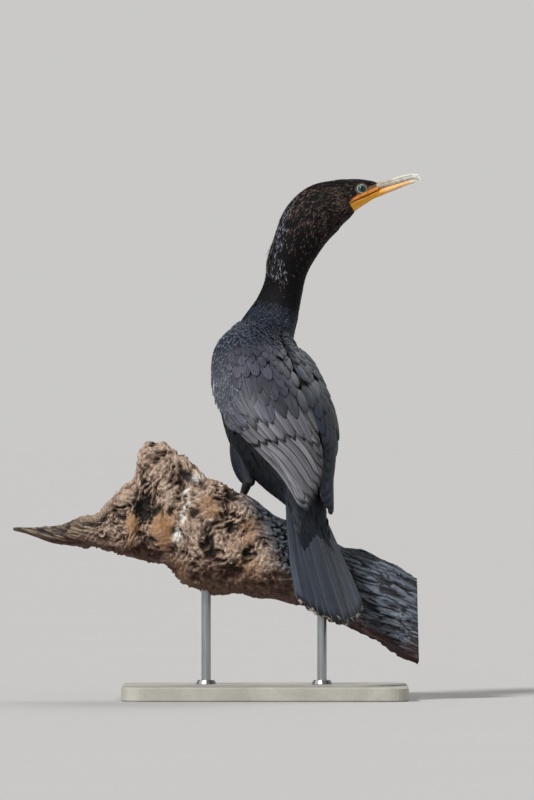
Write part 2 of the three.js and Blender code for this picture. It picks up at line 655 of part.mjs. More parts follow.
// The web between two toes, a sheet over the snag with its free edge drawn in.
function webBetween(a, b) {
  const across = 2;
  const rings = [];
  for (let i = 1; i < a.length; i++) {
    const upper = [];
    const lower = [];
    for (let k = 0; k <= across; k++) {
      const share = k / across;
      const along = 0.94 * i * (1 - 0.2 * Math.sin(Math.PI * share) * (i / (a.length - 1)) ** 2);
      const cell = Math.min(a.length - 2, Math.floor(along));
      const pick = (path) => path[cell][0].clone().lerp(path[cell + 1][0], along - cell);
      const at = pick(a).lerp(pick(b), share);
      at.z = Math.max(at.z - 0.4, groundAround(at.x, at.y, 4) + GAP + WEB + 0.5);
      upper.push(at);
      lower.unshift(at.clone().setZ(at.z - WEB));
    }
    rings.push([...upper, ...lower]);
  }
  return solid(loft(rings));
}

function makeFoot(side) {
  const paths = TOES.map((toe) => toePath(side, toe));
  const webs = paths.slice(1).map((path, i) => webBetween(paths[i], path));
  return join([...paths.map(toeSolid), ...webs]);
}

const PAINT = {
  plumage: new THREE.MeshStandardMaterial({ color: 0x17181c, roughness: 0.6 }),
  wing: new THREE.MeshStandardMaterial({ color: 0x3a3b40, roughness: 0.55 }),
  tail: new THREE.MeshStandardMaterial({ color: 0x23262b, roughness: 0.5 }),
  neck: new THREE.MeshStandardMaterial({ color: 0x231d1e, roughness: 0.7 }),
  upperBill: new THREE.MeshStandardMaterial({ color: 0xb9b2a6, roughness: 0.45 }),
  lowerBill: new THREE.MeshStandardMaterial({ color: 0xe0a45c, roughness: 0.45 }),
  skin: new THREE.MeshStandardMaterial({ color: 0xe9a21c, roughness: 0.5 }),
  eye: new THREE.MeshStandardMaterial({ color: 0x0f6b5e, roughness: 0.08 }),
  foot: new THREE.MeshStandardMaterial({ color: 0x15161a, roughness: 0.5 }),
  wood: new THREE.MeshStandardMaterial({ color: 0x7d6654, roughness: 0.95 }),
  base: new THREE.MeshStandardMaterial({ color: 0xb8b4ac, roughness: 0.6 }),
  steel: new THREE.MeshStandardMaterial({ color: 0x8a8d90, roughness: 0.35, metalness: 1 }),
};

const model = new THREE.Group();
function show(name, made, paint) {
  const mesh = new THREE.Mesh(geometryOf(made), paint);
  mesh.name = name;
  model.add(mesh);
  return made;
}

const BACK_WAY = frameAt(BODY, 2).back;
const UP = vec(0, 0, 1);
const step = 0.006; // half a gap, in sections, between lengths of the neck
show("torso", torsoSolid(), PAINT.plumage);
show("neck_lower", tubeSolid(BODY, TORSO_END + step, NECK_MIDDLE - step, 6, 20), PAINT.neck);
show("neck_upper", tubeSolid(BODY, NECK_MIDDLE + step, HEAD_START - step, 6, 20), PAINT.neck);
show("head", makeHead(), PAINT.neck);
show("gular_pouch", makePouch(), PAINT.skin);
show("upper_bill", makeUpperBill(), PAINT.upperBill);
show("lower_bill", makeLowerBill(), PAINT.lowerBill);

const tail = show("tail", makeTail(), PAINT.tail);
const left = largest(clearOf(makeWing(1), tail, BACK_WAY));
const right = clearOf(makeWing(-1), tail, BACK_WAY);
const wings = { left, right: largest(right.subtract(wingShell(1, 1))) };
let snag = snagWhole;
for (const [name, side] of [["left", 1], ["right", -1]]) {
  show("eye_" + name, ball(eyeAt(side, EYE.outward), EYE.radius), PAINT.eye);
  show("wing_" + name, wings[name], PAINT.wing);
  const thigh = makeThigh(side).subtract(torsoGrown);
  show("thigh_" + name, largest(clearOf(thigh, wings[name], BACK_WAY.clone().negate())), PAINT.plumage);
  const shank = largest(clearOf(makeShank(side), makeThigh(side), UP.clone().negate()));
  show("leg_" + name, shank, PAINT.foot);
  const foot = clearOf(clearOf(makeFoot(side), shank, UP.clone().negate()), snagWhole, UP);
  show("foot_" + name, largest(foot), PAINT.foot);
  snag = snag.subtract(rodAt(RODS[name], GAP));
  show("stand_rod_" + name, rodAt(RODS[name]), PAINT.steel);
}
show("perch", largest(snag), PAINT.wood);
show("stand_base", makeBase(), PAINT.base);

export default model;
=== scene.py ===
"""A life-size museum model of a cormorant, perched with its back turned and its head over its right shoulder.

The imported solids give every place. Here one skin with its coat of feathers, fine wings and tail, the horn of the bill,
the eyes, the webbed feet and the weathered snag take the place of the coarser solids.
Lengths in this file are millimetres until a mesh is made. Seen from behind the bird, +X is right and +Y away.
"""

import math

import bpy
import numpy as np
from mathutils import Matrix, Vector, noise
from mathutils.bvhtree import BVHTree


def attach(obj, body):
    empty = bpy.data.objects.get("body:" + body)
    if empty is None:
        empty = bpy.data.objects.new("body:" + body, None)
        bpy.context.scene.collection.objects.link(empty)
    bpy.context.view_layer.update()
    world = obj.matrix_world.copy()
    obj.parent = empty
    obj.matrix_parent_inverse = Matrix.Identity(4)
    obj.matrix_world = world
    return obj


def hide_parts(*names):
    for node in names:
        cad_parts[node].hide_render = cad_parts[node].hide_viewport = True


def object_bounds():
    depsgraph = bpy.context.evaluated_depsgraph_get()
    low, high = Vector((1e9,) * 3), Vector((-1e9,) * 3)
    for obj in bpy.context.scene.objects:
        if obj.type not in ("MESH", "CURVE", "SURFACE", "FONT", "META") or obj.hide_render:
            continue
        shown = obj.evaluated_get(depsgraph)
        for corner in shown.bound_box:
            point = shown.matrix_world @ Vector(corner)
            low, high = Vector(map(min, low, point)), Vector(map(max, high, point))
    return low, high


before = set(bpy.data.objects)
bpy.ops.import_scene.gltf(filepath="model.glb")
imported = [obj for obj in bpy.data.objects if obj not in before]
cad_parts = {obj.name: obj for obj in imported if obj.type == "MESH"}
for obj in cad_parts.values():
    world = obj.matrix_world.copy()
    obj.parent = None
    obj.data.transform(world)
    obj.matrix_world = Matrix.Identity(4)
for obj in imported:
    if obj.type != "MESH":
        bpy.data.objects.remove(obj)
CAD_BOX = [list(corner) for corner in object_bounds()]

MM = 0.001
FULL_TURN = 6.283
BARB_DEPTH = 0.00018
DRAW = np.random.default_rng(12)
# without a seed the noise that bends the folds of the snag starts from the clock, and no two runs are alike
noise.seed_set(3)

# The body, in the same measures as the solids: the tail base, the way the long axis points, and its sections.
TAIL_BASE = np.array([41, -35, 220.0])
BODY_YAW = math.radians(25)
BODY_PITCH = math.radians(50.4)
BODY_TURN = 221
TORSO_STEP = 30
AXIS = np.array([
    -math.sin(BODY_YAW) * math.cos(BODY_PITCH),
    math.cos(BODY_YAW) * math.cos(BODY_PITCH),
    math.sin(BODY_PITCH),
])
# half width, height to the back, depth to the breast
TORSO = [(20, 7, 12), (25, 17, 27), (36, 28, 43), (47, 34, 55), (54, 38, 60), (54, 39, 59), (50, 38, 53)]
# middle, half width, height to the nape, depth to the throat, heading of the left side
NECK = [
    ((-4, 68, 359.5), 38, 33, 43, 219),
    ((1.5, 82.5, 384), 30, 28, 33, 212),
    ((11, 91, 407), 24.5, 24, 26, 195),
    ((18.5, 94, 430), 21, 24, 22, 170),
    ((24.5, 94, 453.5), 19.5, 26, 22, 140),
    ((34, 90, 477), 19, 27, 24, 112),
    ((46, 85, 499), 19, 30, 26.5, 98),
    ((61, 80.5, 515.5), 19, 28.5, 27, 92),
    ((79, 78, 525.5), 18, 22.5, 22, 90),
    ((92, 77.3, 530.5), 15.6, 18, 17, 90),
    ((102.5, 77, 534), 12.8, 14.2, 13.5, 90),
    ((111.5, 77, 536.3), 9.4, 10.2, 10.5, 90),
    ((119.5, 77, 537.6), 6.6, 6.6, 8, 90),
]
SKIN_START, SKIN_END = 0.73, 19.0
HEAD_START = 16

HEAD_Y = 77
# the eye and its lid look a little forwards, in radians
EYE = {"x": 101.9, "z": 537.2, "outward": 8.6, "radius": 5.2, "forwards": 0.2}
LID = {"radius": 4.35, "tube": 0.75, "outward": 12.0, "beads": 24, "around": 104, "across": 14, "forwards": 0.28}
GAPE = ((88.5, 521.5), (121, 536.2))
GAPE_SLOPE = 0.452
# where the bare skin of the face begins: height, and X of the feathers' border there
FACE_BORDER = [
    (508, 99), (512, 95.5), (518, 91.5), (523, 89), (527, 92),
    (531, 97), (535, 106), (540, 111), (543, 119), (547, 127),
]
UPPER_BILL = [
    (120, 540.2, 6.2, 4.2, 3.4), (128.5, 543, 5.2, 3.9, 3.4), (138, 545.9, 4.4, 3.6, 3.6), (147, 548.6, 3.9, 3.6, 3.4),
    (154.5, 550.2, 3.6, 3.2, 2.8), (160, 549.9, 3.1, 3.1, 2.6), (163.8, 547.4, 2, 2.2, 1.7),
    (165.4, 543.6, 0.7, 0.7, 0.7),
]
GROOVE_ANGLE = 0.62 * np.pi / 2 * 1.25
LOWER_BILL = [
    (120, 533, 5.6, 2.9, 3.7), (129, 536.1, 4.7, 2.9, 3.2), (140, 539.8, 3.8, 2.4, 2.5), (150, 543.2, 3.2, 1.9, 1.9),
    (158.5, 545.2, 2.2, 1.2, 1.4),
]

WING = {"tip": -40, "step": 20, "shoulder": 196, "thickness": {1: 10, -1: 8.5}, "edge": 4}
INNER_EDGE = {1: [20, 0, -18, -22, -16, -8, -2, 0, 1], -1: [22, 14, 24, 28, 21, 12, 4, 2, 2]}
LOWER_EDGE = [40, 53, 67, 79, 88, 94, 98, 103, 108, 113, 117, 119, 120]
FLIGHT_TIPS = [(-38, 34), (-33, 25), (-27, 14), (-20, 3), (-12, -6), (-3, -13), (8, -16), (19, -15), (31, -10)]

TAIL_WAY = np.array([0.25, -0.485, -0.842])
TAIL = {"feathers": 12, "length": 166, "outer_share": 0.86, "spread": 15, "fan": 9, "width": 19, "step": 0.95}

ANKLE = (42, 30, 46)
THIGH = [((116, 20, 16), 21), ((92, 25, 29), 22), ((72, 28.5, 39.5), 19), ((56, 30, 45.5), 13), (ANKLE, 6.4)]
THIGH_INWARD, THIGH_SLIM = 2.5, 0.86
FEET = {1: (-29, 32), -1: (26, 52)}
TOES = [(22, -118, 2.6), (40, -22, 2.9), (56, 3, 3.1), (62, 29, 3.1)]
CLAW = 10
CLAW_HOOK = [(0.3, 1.2, 0.62), (0.65, 1.1, 0.42), (0.9, 0, 0.2), (1, -1.1, 0.06)]  # share, rise and thickness
TOE_STEPS = 12

SNAG = [
    (-265, 180, 177, 29, 33, 31), (-222, 182, 164, 18, 44, 30), (-198, 190, 161, 9, 53, 30),
    (-174, 197, 158, 1, 62, 28), (-162, 210, 155, -3, 68, 26), (-148, 224, 152, -7, 74, 24),
    (-137, 234, 149, -10, 82, 22), (-132, 259, 147, -11, 86, 20), (-120, 270, 144, -13, 92, 16),
    (-102, 268, 136, -15, 100, 12), (-84, 255, 121, -17, 108, 8), (-66, 240, 112, -19, 116, 5),
    (-46, 227, 110, -20, 124, 3), (-24, 217, 109, -20, 128, 3), (0, 202, 107, -19, 128, 6),
    (19, 189, 103, -15, 124, 14), (40, 180, 97, -9, 114, 24), (64, 169, 87, -5, 96, 34),
    (88, 159, 75, -7, 78, 32), (114, 151, 61, -12, 62, 26), (140, 139, 46, -17, 56, 20), (160, 128, 35, -20, 52, 16),
]
HOLLOW = {"height": 194, "fall_x": 0.23, "fall_y": 0.05, "behind_crest": 7, "left_x": -98, "wall": 2.2}
LUMP = 3.2
SNAG_GRID = (500, 300)
BURL = (-205, 22)  # between these X the snag is burl, and beyond them straight-grained wood


# Measures

def unit(v):
    return v / np.maximum(np.linalg.norm(v, axis=-1, keepdims=True), 1e-9)


def mix(a, b, share):
    return a + (b - a) * share


def ease(x, low, high):
    s = np.clip((np.asarray(x, float) - low) / (high - low), 0, 1)
    return s * s * (3 - 2 * s)


def bell(x, middle, wide):
    return np.exp(-(((x - middle) / wide) ** 2))


def patch(x, y, middle_x, wide, middle_y, high):
    """A soft-edged patch, 1 in its middle."""
    return np.exp(-(((x - middle_x) / wide) ** 2) - ((y - middle_y) / high) ** 2)


def between(values, t):
    """A value of evenly counted sections, smooth between them."""
    values, t = np.asarray(values, float), np.asarray(t, float)
    last = len(values) - 1
    i = np.clip(np.floor(t), 0, last - 1).astype(int)
    f, at_first, at_last = t - i, i == 0, i == last - 1
    if values.ndim == 2:
        f, at_first, at_last = f[..., None], at_first[..., None], at_last[..., None]
    b, c = values[i], values[i + 1]
    a = np.where(at_first, 2 * b - c, values[np.maximum(i - 1, 0)])
    d = np.where(at_last, 2 * c - b, values[np.minimum(i + 2, last)])
    return b + 0.5 * f * (c - a + f * (2 * a - 5 * b + 4 * c - d + f * (3 * (b - c) + d - a)))


def graph(places, values):
    """The straight-lined graph through these values, as a function."""
    return lambda t: np.interp(t, places, values)


def all_round(_):
    return 0, 360


def turned(p, angle):
    """Points turned about the upright axis."""
    x, y = p[..., 0], p[..., 1]
    cos, sin = math.cos(angle), math.sin(angle)
    return np.stack([x * cos - y * sin, x * sin + y * cos, p[..., 2]], -1)


class Tube:
    """A form with a long middle line, given by sections of middle, half width, height and depth, and left heading."""

    def __init__(self, sections):
        self.at = np.array([s[0] for s in sections], float)
        self.side, self.back, self.belly, self.turn = (np.array([s[k] for s in sections], float) for k in (1, 2, 3, 4))
        self.last = len(sections) - 1

    def axes(self, t):
        t = np.asarray(t, float)
        along = unit(between(self.at, t + 0.02) - between(self.at, t - 0.02))
        turn = np.radians(between(self.turn, t))
        left = np.stack([np.cos(turn), np.sin(turn), 0 * turn], -1)
        left = unit(left - along * np.sum(left * along, -1, keepdims=True))
        return between(self.at, t), along, left, np.cross(along, left)

    def point(self, t, angle, height=0.0):
        t, angle, height = np.broadcast_arrays(np.asarray(t, float), angle, height)
        middle, _, left, back = self.axes(t)
        side = between(self.side, t) + height
        deep = np.where(np.cos(angle) > 0, between(self.back, t), between(self.belly, t)) + height
        return middle + left * (np.sin(angle) * side)[..., None] + back * (np.cos(angle) * deep)[..., None]

    def stride(self, t):
        """Millimetres from one section to the next."""
        return np.linalg.norm(between(self.at, t + 0.02) - between(self.at, t - 0.02), axis=-1) / 0.04


TORSO_SECTIONS = [(TAIL_BASE + AXIS * (i - 1) * TORSO_STEP, *sizes, BODY_TURN) for i, sizes in enumerate(TORSO)]
BODY = Tube(TORSO_SECTIONS + [(np.array(at), *rest) for at, *rest in NECK])


def section_at(along):
    return along / TORSO_STEP + 1


def along_at(section):
    return (section - 1) * TORSO_STEP


def body_place(along, left, back):
    middle, _, to_left, to_back = BODY.axes(section_at(along))
    return middle + to_left * left + to_back * back


def edge_at(values, along):
    return between(values, np.clip((along - WING["tip"]) / WING["step"], 0, len(values) - 1))


def wing_height(side, along, degrees):
    """How high the folded wing stands over the torso's skin."""
    inner, lower = edge_at(INNER_EDGE[side], along), edge_at(LOWER_EDGE, along)
    across = np.clip((degrees - inner) / (lower - inner), 0, 1)
    swell = np.sin(np.pi * (0.08 + 0.86 * across)) ** 0.8
    tip = 1 - ease(along, -10, 70)
    bend = 7 * patch(along, degrees, 182, 28, 86, 38)
    shoulder = np.clip((WING["shoulder"] + 10 - along) / 30, 0.3, 1)
    thickness = mix(WING["thickness"][side], 7.5, tip)
    edge = mix(WING["edge"], 5.5, tip)
    return (edge + (thickness - edge) * swell + bend) * shoulder


class Cover:
    """A surface that feathers lie on: a place is a section t along a tube and degrees round it, to the left."""

    def __init__(self, tube, wing=0):
        self.tube, self.wing = tube, wing

    def at(self, t, degrees, rise=0.0):
        t, degrees, rise = np.broadcast_arrays(np.asarray(t, float), degrees, rise)
        height = rise
        if self.wing:
            height = rise + wing_height(self.wing, along_at(t), degrees * self.wing)
        return self.tube.point(t, np.radians(degrees), height)

    def out(self, t, degrees):
        here = self.at(t, degrees)
        return unit(np.cross(self.at(t + 0.08, degrees) - here, self.at(t, degrees + 3) - here))


# Feathers

ROUND_VANE = ([0, 0.25, 0.6, 0.82, 0.93, 1], [0.5, 0.85, 1, 0.82, 0.55, 0.16])
POINTED_VANE = ([0, 0.25, 0.5, 0.75, 0.9, 1], [0.5, 0.92, 1, 0.84, 0.54, 0.1])
LONG_VANE = ([0, 0.3, 0.7, 0.9, 0.96, 1], [0.42, 0.85, 1, 0.94, 0.74, 0.3])
TAIL_VANE = ([0, 0.3, 0.7, 0.92, 0.97, 1], [0.42, 0.8, 1, 0.95, 0.75, 0.35])


class Coat:
    """Gathers feathers and makes one mesh of them, with their own map, colours and places on the skin's unwrap."""

    def __init__(self):
        self.points, self.faces, self.vane, self.place, self.centre, self.edge, self.tone = [], [], [], [], [], [], []
        self.count = 0

    def add(self, at, across, out, half, place, centre, edge, columns, camber=0.1, thick=0.0, ragged=0.06, tilt=0.0):
        """Feathers from their middle lines: at, across and out are feathers x rows x 3, half is feathers x rows,
        place is feathers x 2, and centre and edge are feathers x 3."""
        feathers, rows = half.shape
        if not feathers:
            return
        c = np.linspace(-1, 1, columns)
        way = unit(np.gradient(at, axis=1))
        wide = half[..., None] * (1 + ragged * DRAW.normal(size=(feathers, rows, columns)) * np.abs(c))
        grid = at[:, :, None] + across[:, :, None] * (wide * c)[..., None]
        rise = camber * half[..., None] * (1 - c**2) + tilt * c * np.linspace(0, 1, rows)[:, None] ** 0.5
        grid = grid + out[:, :, None] * rise[..., None]
        grid = grid - way[:, :, None] * (0.35 * half[..., None] * c**2)[..., None]
        u = np.broadcast_to((c + 1) / 2, grid.shape[:3])
        v = np.broadcast_to(np.linspace(0, 1, rows)[None, :, None], grid.shape[:3])
        size = rows * columns
        r, k = np.meshgrid(np.arange(rows - 1), np.arange(columns - 1), indexing="ij")
        a = (r * columns + k).ravel()
        quads = np.stack([a, a + 1, a + columns + 1, a + columns], -1)
        layers = [grid]
        if thick:
            layers.append(grid - out[:, :, None] * thick)
            rim = [(row * columns, (row + 1) * columns) for row in range(rows - 1)]
            rim += [((row + 1) * columns + columns - 1, row * columns + columns - 1) for row in range(rows - 1)]
            rim += [(k + 1, k) for k in range(columns - 1)]
            rim += [((rows - 1) * columns + k, (rows - 1) * columns + k + 1) for k in range(columns - 1)]
            side = np.array([(p, q, q + size, p + size) for p, q in rim])
            quads = np.concatenate([quads, quads[:, ::-1] + size, side])
        full = size * len(layers)
        points = np.stack(layers, 1).reshape(-1, 3)
        first = self.count + np.arange(feathers)[:, None, None] * full
        self.faces.append((quads[None] + first).reshape(-1, 4))
        uv = np.stack([u, v], -1).reshape(feathers, size, 2)
        uv = np.concatenate([uv] * len(layers), 1)
        patch = 0.0028 * (uv - 0.5) + np.clip(place, 0.003, 0.997)[:, None]
        self.points.append(points)
        self.vane.append(uv.reshape(-1, 2))
        self.place.append(patch.reshape(-1, 2))
        for store, value in ((self.centre, centre), (self.edge, edge)):
            store.append(np.repeat(np.broadcast_to(value, (feathers, 3)), full, 0))
        self.tone.append(np.repeat(DRAW.random(feathers), full))
        self.count += feathers * full

    def lay(self, cover, root, tip, width, shape, centre, edge, sunk, lift, rows, columns, place=None, **more):
        """Feathers on a cover, from root to tip places (feathers x 2: section and degrees)."""
        root, tip = np.asarray(root, float), np.asarray(tip, float)
        width = np.broadcast_to(np.asarray(width, float), (len(root),))
        s = np.linspace(0, 1, rows)
        where = root[:, None] + (tip - root)[:, None] * s[None, :, None]
        sunk, lift = (np.broadcast_to(np.asarray(x, float), (len(root),))[:, None] for x in (sunk, lift))
        at = cover.at(where[..., 0], where[..., 1], -sunk + (lift + sunk) * s[None] ** 0.65)
        out = cover.out(where[..., 0], where[..., 1])
        across = unit(np.cross(out, np.gradient(at, axis=1)))
        half = 0.5 * width[:, None] * np.interp(s, *shape)[None]
        if place is None:
            low, high = (SKIN_START, SKIN_END) if cover.tube is BODY else (0, cover.tube.last)
            place = np.stack([(root[:, 1] % 360) / 360, (root[:, 0] - low) / (high - low)], -1)
        self.add(at, across, out, half, 0.02 + 0.96 * place, centre, edge, columns, **more)

    def piece(self, name, material):
        made = mesh_piece(name, np.concatenate(self.points), np.concatenate(self.faces), material)
        mesh = made.data
        for title, uv in (("vane", self.vane), ("OFBake", self.place)):
            put_map(mesh, title, np.concatenate(uv))
        for title, rgb in (("centre", self.centre), ("edge", self.edge)):
            put_colour(mesh, title, np.concatenate(rgb))
        put_value(mesh, "tone", np.concatenate(self.tone))
        return made


def put_map(mesh, title, uv):
    """A map of the mesh, given for each of its points."""
    corners = np.empty(len(mesh.loops), np.int32)
    mesh.loops.foreach_get("vertex_index", corners)
    mesh.uv_layers.new(name=title).data.foreach_set("uv", uv[corners].ravel().astype(np.float32))


def put_colour(mesh, title, rgb):
    store = mesh.attributes.new(title, "FLOAT_COLOR", "POINT")
    store.data.foreach_set("color", np.concatenate([rgb, np.ones((len(rgb), 1))], 1).ravel().astype(np.float32))


def put_value(mesh, title, values):
    store = mesh.attributes.new(title, "FLOAT", "POINT")
    store.data.foreach_set("value", np.asarray(values, np.float32))


def mesh_piece(name, points, faces, material):
    """A smooth-shaded piece of the model that rides on the one body. Faces are rows of three or four corners."""
    mesh = bpy.data.meshes.new(name)
    mesh.from_pydata((np.asarray(points) * MM).tolist(), [], [list(map(int, f)) for f in faces])
    mesh.validate(clean_customdata=False)
    mesh.polygons.foreach_set("use_smooth", np.ones(len(mesh.polygons), bool))
    made = bpy.data.objects.new(name, mesh)
    bpy.context.scene.collection.objects.link(made)
    mesh.materials.append(material)
    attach(made, "root")
    return made


def grid_faces(rings, around, first=0, caps=True):
    """Quads of a closed tube of rings, with a fan of corners over each end."""
    r, k = np.meshgrid(np.arange(rings - 1), np.arange(around), indexing="ij")
    a, b = r * around + k, r * around + (k + 1) % around
    faces = (np.stack([a, b, b + around, a + around], -1).reshape(-1, 4) + first).tolist()
    if caps:
        faces.append([first + i for i in range(around)][::-1])
        faces.append([first + (rings - 1) * around + i for i in range(around)])
    return faces


def tube_grid(tube, start, end, rings, around, height=0.0):
    t, angle = np.meshgrid(np.linspace(start, end, rings), np.arange(around) * 2 * np.pi / around, indexing="ij")
    return tube.point(t, angle, height), t, angle


# Finishes

def hue(code):
    """A colour written as six hexadecimal figures, as the shader counts it."""
    parts = np.array([int(code[i:i + 2], 16) / 255 for i in (0, 2, 4)])
    return np.where(parts <= 0.04045, parts / 12.92, ((parts + 0.055) / 1.055) ** 2.4)


def rgba(code):
    return (*[float(x) for x in hue(code)], 1.0)


class Sheet:
    """Short words for laying out shader nodes. A value may be a number, a colour's code or another node's output."""

    def __init__(self, tree):
        self.tree = tree

    def node(self, kind, **values):
        made = self.tree.nodes.new(kind)
        for key, value in values.items():
            setattr(made, key, value)
        return made

    def feed(self, socket, value):
        if hasattr(value, "is_output"):
            self.tree.links.new(value, socket)
        else:
            socket.default_value = rgba(value) if isinstance(value, str) else value

    def made(self, kind, given, output=0, **values):
        """The output of a new node that is given values for its sockets, by their names or numbers."""
        node = self.node(kind, **values)
        for key, value in given.items():
            self.feed(node.inputs[key], value)
        return node.outputs[output]

    def math(self, operation, *values, clamp=False):
        return self.made("ShaderNodeMath", dict(enumerate(values)), operation=operation, use_clamp=clamp)

    def times(self, a, b):
        return self.math("MULTIPLY", a, b)

    def plus(self, a, b):
        return self.math("ADD", a, b)

    def scaled(self, value, by, plus):
        return self.math("MULTIPLY_ADD", value, by, plus)

    def rest(self, share):
        return self.math("SUBTRACT", 1.0, share)

    def blend(self, share, a, b, kind="MIX"):
        return self.made("ShaderNodeMix", {0: share, 6: a, 7: b}, 2, data_type="RGBA", blend_type=kind)

    def spread(self, value, low, high, to_low=0.0, to_high=1.0):
        given = dict(enumerate((value, low, high, to_low, to_high)))
        return self.made("ShaderNodeMapRange", given, interpolation_type="SMOOTHSTEP")

    def cloud(self, where, scale, detail=4.0, roughness=0.55, distortion=0.0):
        given = {"Vector": where, "Scale": scale, "Detail": detail, "Roughness": roughness, "Distortion": distortion}
        return self.made("ShaderNodeTexNoise", given, "Fac")

    def cells(self, where, scale, feature="F1"):
        return self.made("ShaderNodeTexVoronoi", {"Vector": where, "Scale": scale}, "Distance", feature=feature)

    def place(self):
        return self.node("ShaderNodeTexCoord").outputs["Object"]

    def enlarged(self, scale):
        return self.made("ShaderNodeMapping", {"Vector": self.place(), "Scale": (scale, scale, scale)})

    def split(self, vector):
        node = self.node("ShaderNodeSeparateXYZ")
        self.feed(node.inputs[0], vector)
        return node.outputs

    def joined(self, *parts):
        return self.made("ShaderNodeCombineXYZ", dict(enumerate(parts)))

    def kept(self, title, output="Fac"):
        """What a mesh keeps at each of its points under this title."""
        return self.node("ShaderNodeAttribute", attribute_name=title).outputs[output]

    def mapped(self, title):
        """The two figures of a mesh's map, and nought."""
        return self.split(self.node("ShaderNodeUVMap", uv_map=title).outputs[0])

    def bump(self, height, strength, distance):
        return self.made("ShaderNodeBump", {"Strength": strength, "Distance": distance, "Height": height})

    def group(self, tree, **values):
        made = self.node("ShaderNodeGroup", node_tree=tree)
        for name, value in values.items():
            self.feed(made.inputs[name], value)
        return made.outputs


class Finish(Sheet):
    """A new material's sheet."""

    def __init__(self, name):
        self.material = bpy.data.materials.new(name)
        self.material.use_nodes = True
        super().__init__(self.material.node_tree)

    def done(self, colour, roughness, normal=None, **settings):
        """The material, its shader fed with these and its other sockets set as named."""
        sockets = self.tree.nodes["Principled BSDF"].inputs
        self.feed(sockets["Base Color"], colour)
        self.feed(sockets["Roughness"], roughness)
        if normal is not None:
            self.feed(sockets["Normal"], normal)
        for name, value in settings.items():
            sockets[name.replace("_", " ")].default_value = value
        return self.material


def group_of(name, inputs, outputs):
    tree = bpy.data.node_groups.new(name, "ShaderNodeTree")
    for title, value in inputs.items():
        kind = "NodeSocketVector" if isinstance(value, tuple) else "NodeSocketFloat"
        tree.interface.new_socket(title, in_out="INPUT", socket_type=kind).default_value = value
    for title in outputs:
        tree.interface.new_socket(title, in_out="OUTPUT", socket_type="NodeSocketFloat")
    s = Sheet(tree)
    return tree, s, s.node("NodeGroupInput").outputs, s.node("NodeGroupOutput").inputs


def make_vane_marks():
    """What every feather shows: a shaft, barbs that slant from it, a margin, worn ends and streaks along it."""
    tree, s, given, result = group_of(
        "vane marks",
        {"Barbs": 34.0, "Margin": 0.2, "Shaft": 0.05},
        ("Margin", "Shaft", "Barbs", "Height", "End", "Streaks"),
    )
    across, along, _ = s.mapped("vane")
    off = s.times(s.math("ABSOLUTE", s.math("SUBTRACT", across, 0.5)), 2.0)
    slant = s.plus(s.times(along, given["Barbs"]), s.times(off, -5.0))
    phase = s.plus(slant, s.times(s.cloud(s.enlarged(900), 1.0, 2.0), 0.8))
    barbs = s.scaled(s.math("SINE", s.times(phase, FULL_TURN)), 0.5, 0.5)
    shaft = s.rest(s.spread(off, s.times(given["Shaft"], 0.45), given["Shaft"]))
    side = s.spread(off, s.rest(given["Margin"]), 0.98)
    end = s.spread(s.plus(along, s.times(off, 0.04)), s.rest(s.times(given["Margin"], 0.6)), 0.99)
    lengthwise = s.joined(s.times(across, 11.0), s.times(along, 1.6), s.times(s.kept("tone"), 60.0))
    for title, value in (
        ("Margin", s.math("MAXIMUM", side, end)),
        ("Shaft", shaft),
        ("Barbs", barbs),
        ("Height", s.plus(s.times(barbs, 0.35), s.times(shaft, 1.3))),
        ("End", end),
        ("Streaks", s.cloud(lengthwise, 1.0, 3.0, 0.6)),
    ):
        s.feed(result[title], value)
    return tree


def make_weathering():
    """Blotches, fine specks and long fibres of an old dry surface."""
    tree, s, given, result = group_of(
        "weathering",
        {"Size": 40.0, "Slope": 0.0, "Stretch": (1, 1, 1)},
        ("Blotches", "Specks", "Fibres"),
    )
    place = s.place()
    x, y, z = s.split(place)
    leant = s.joined(x, y, s.scaled(x, given["Slope"], z))
    pulled = s.made("ShaderNodeVectorMath", {0: leant, 1: given["Stretch"]}, operation="MULTIPLY")
    s.feed(result["Blotches"], s.cloud(place, given["Size"], 5.0, 0.6, 0.6))
    s.feed(result["Specks"], s.cloud(place, s.times(given["Size"], 14.0), 4.0, 0.65))
    s.feed(result["Fibres"], s.cloud(pulled, s.times(given["Size"], 5.0), 6.0, 0.62, 0.4))
    return tree


VANE_MARKS = make_vane_marks()
WEATHERING = make_weathering()


def feather_finish(name, barbs, margin, shaft, dark_shaft, gloss, rough, worn=None, shaft_tint="101216"):
    s = Finish(name)
    marks = s.group(VANE_MARKS, Barbs=barbs, Margin=margin, Shaft=shaft)
    body = s.blend(marks["Margin"], s.kept("centre", "Color"), s.kept("edge", "Color"))
    lit = s.times(s.scaled(s.kept("tone"), 0.5, 0.75), s.scaled(marks["Barbs"], 0.22, 0.89))
    lit = s.times(lit, s.scaled(s.cloud(s.enlarged(60), 1.0, 3.0), 0.5, 0.75))
    lit = s.times(lit, s.spread(marks["Streaks"], 0.3, 0.7, 0.62, 1.34))
    body = s.blend(1.0, body, lit, "MULTIPLY")
    body = s.blend(s.times(marks["Shaft"], dark_shaft), body, shaft_tint)
    if worn:
        fray = s.scaled(s.cloud(s.enlarged(110), 1.0, 3.0), 0.6, marks["End"])
        body = s.blend(s.spread(fray, 1.27, 1.4), body, worn)
    normal = s.bump(marks["Height"], 0.55, BARB_DEPTH)
    return s.done(body, s.scaled(marks["Barbs"], 0.12, rough), normal, Specular_IOR_Level=gloss)


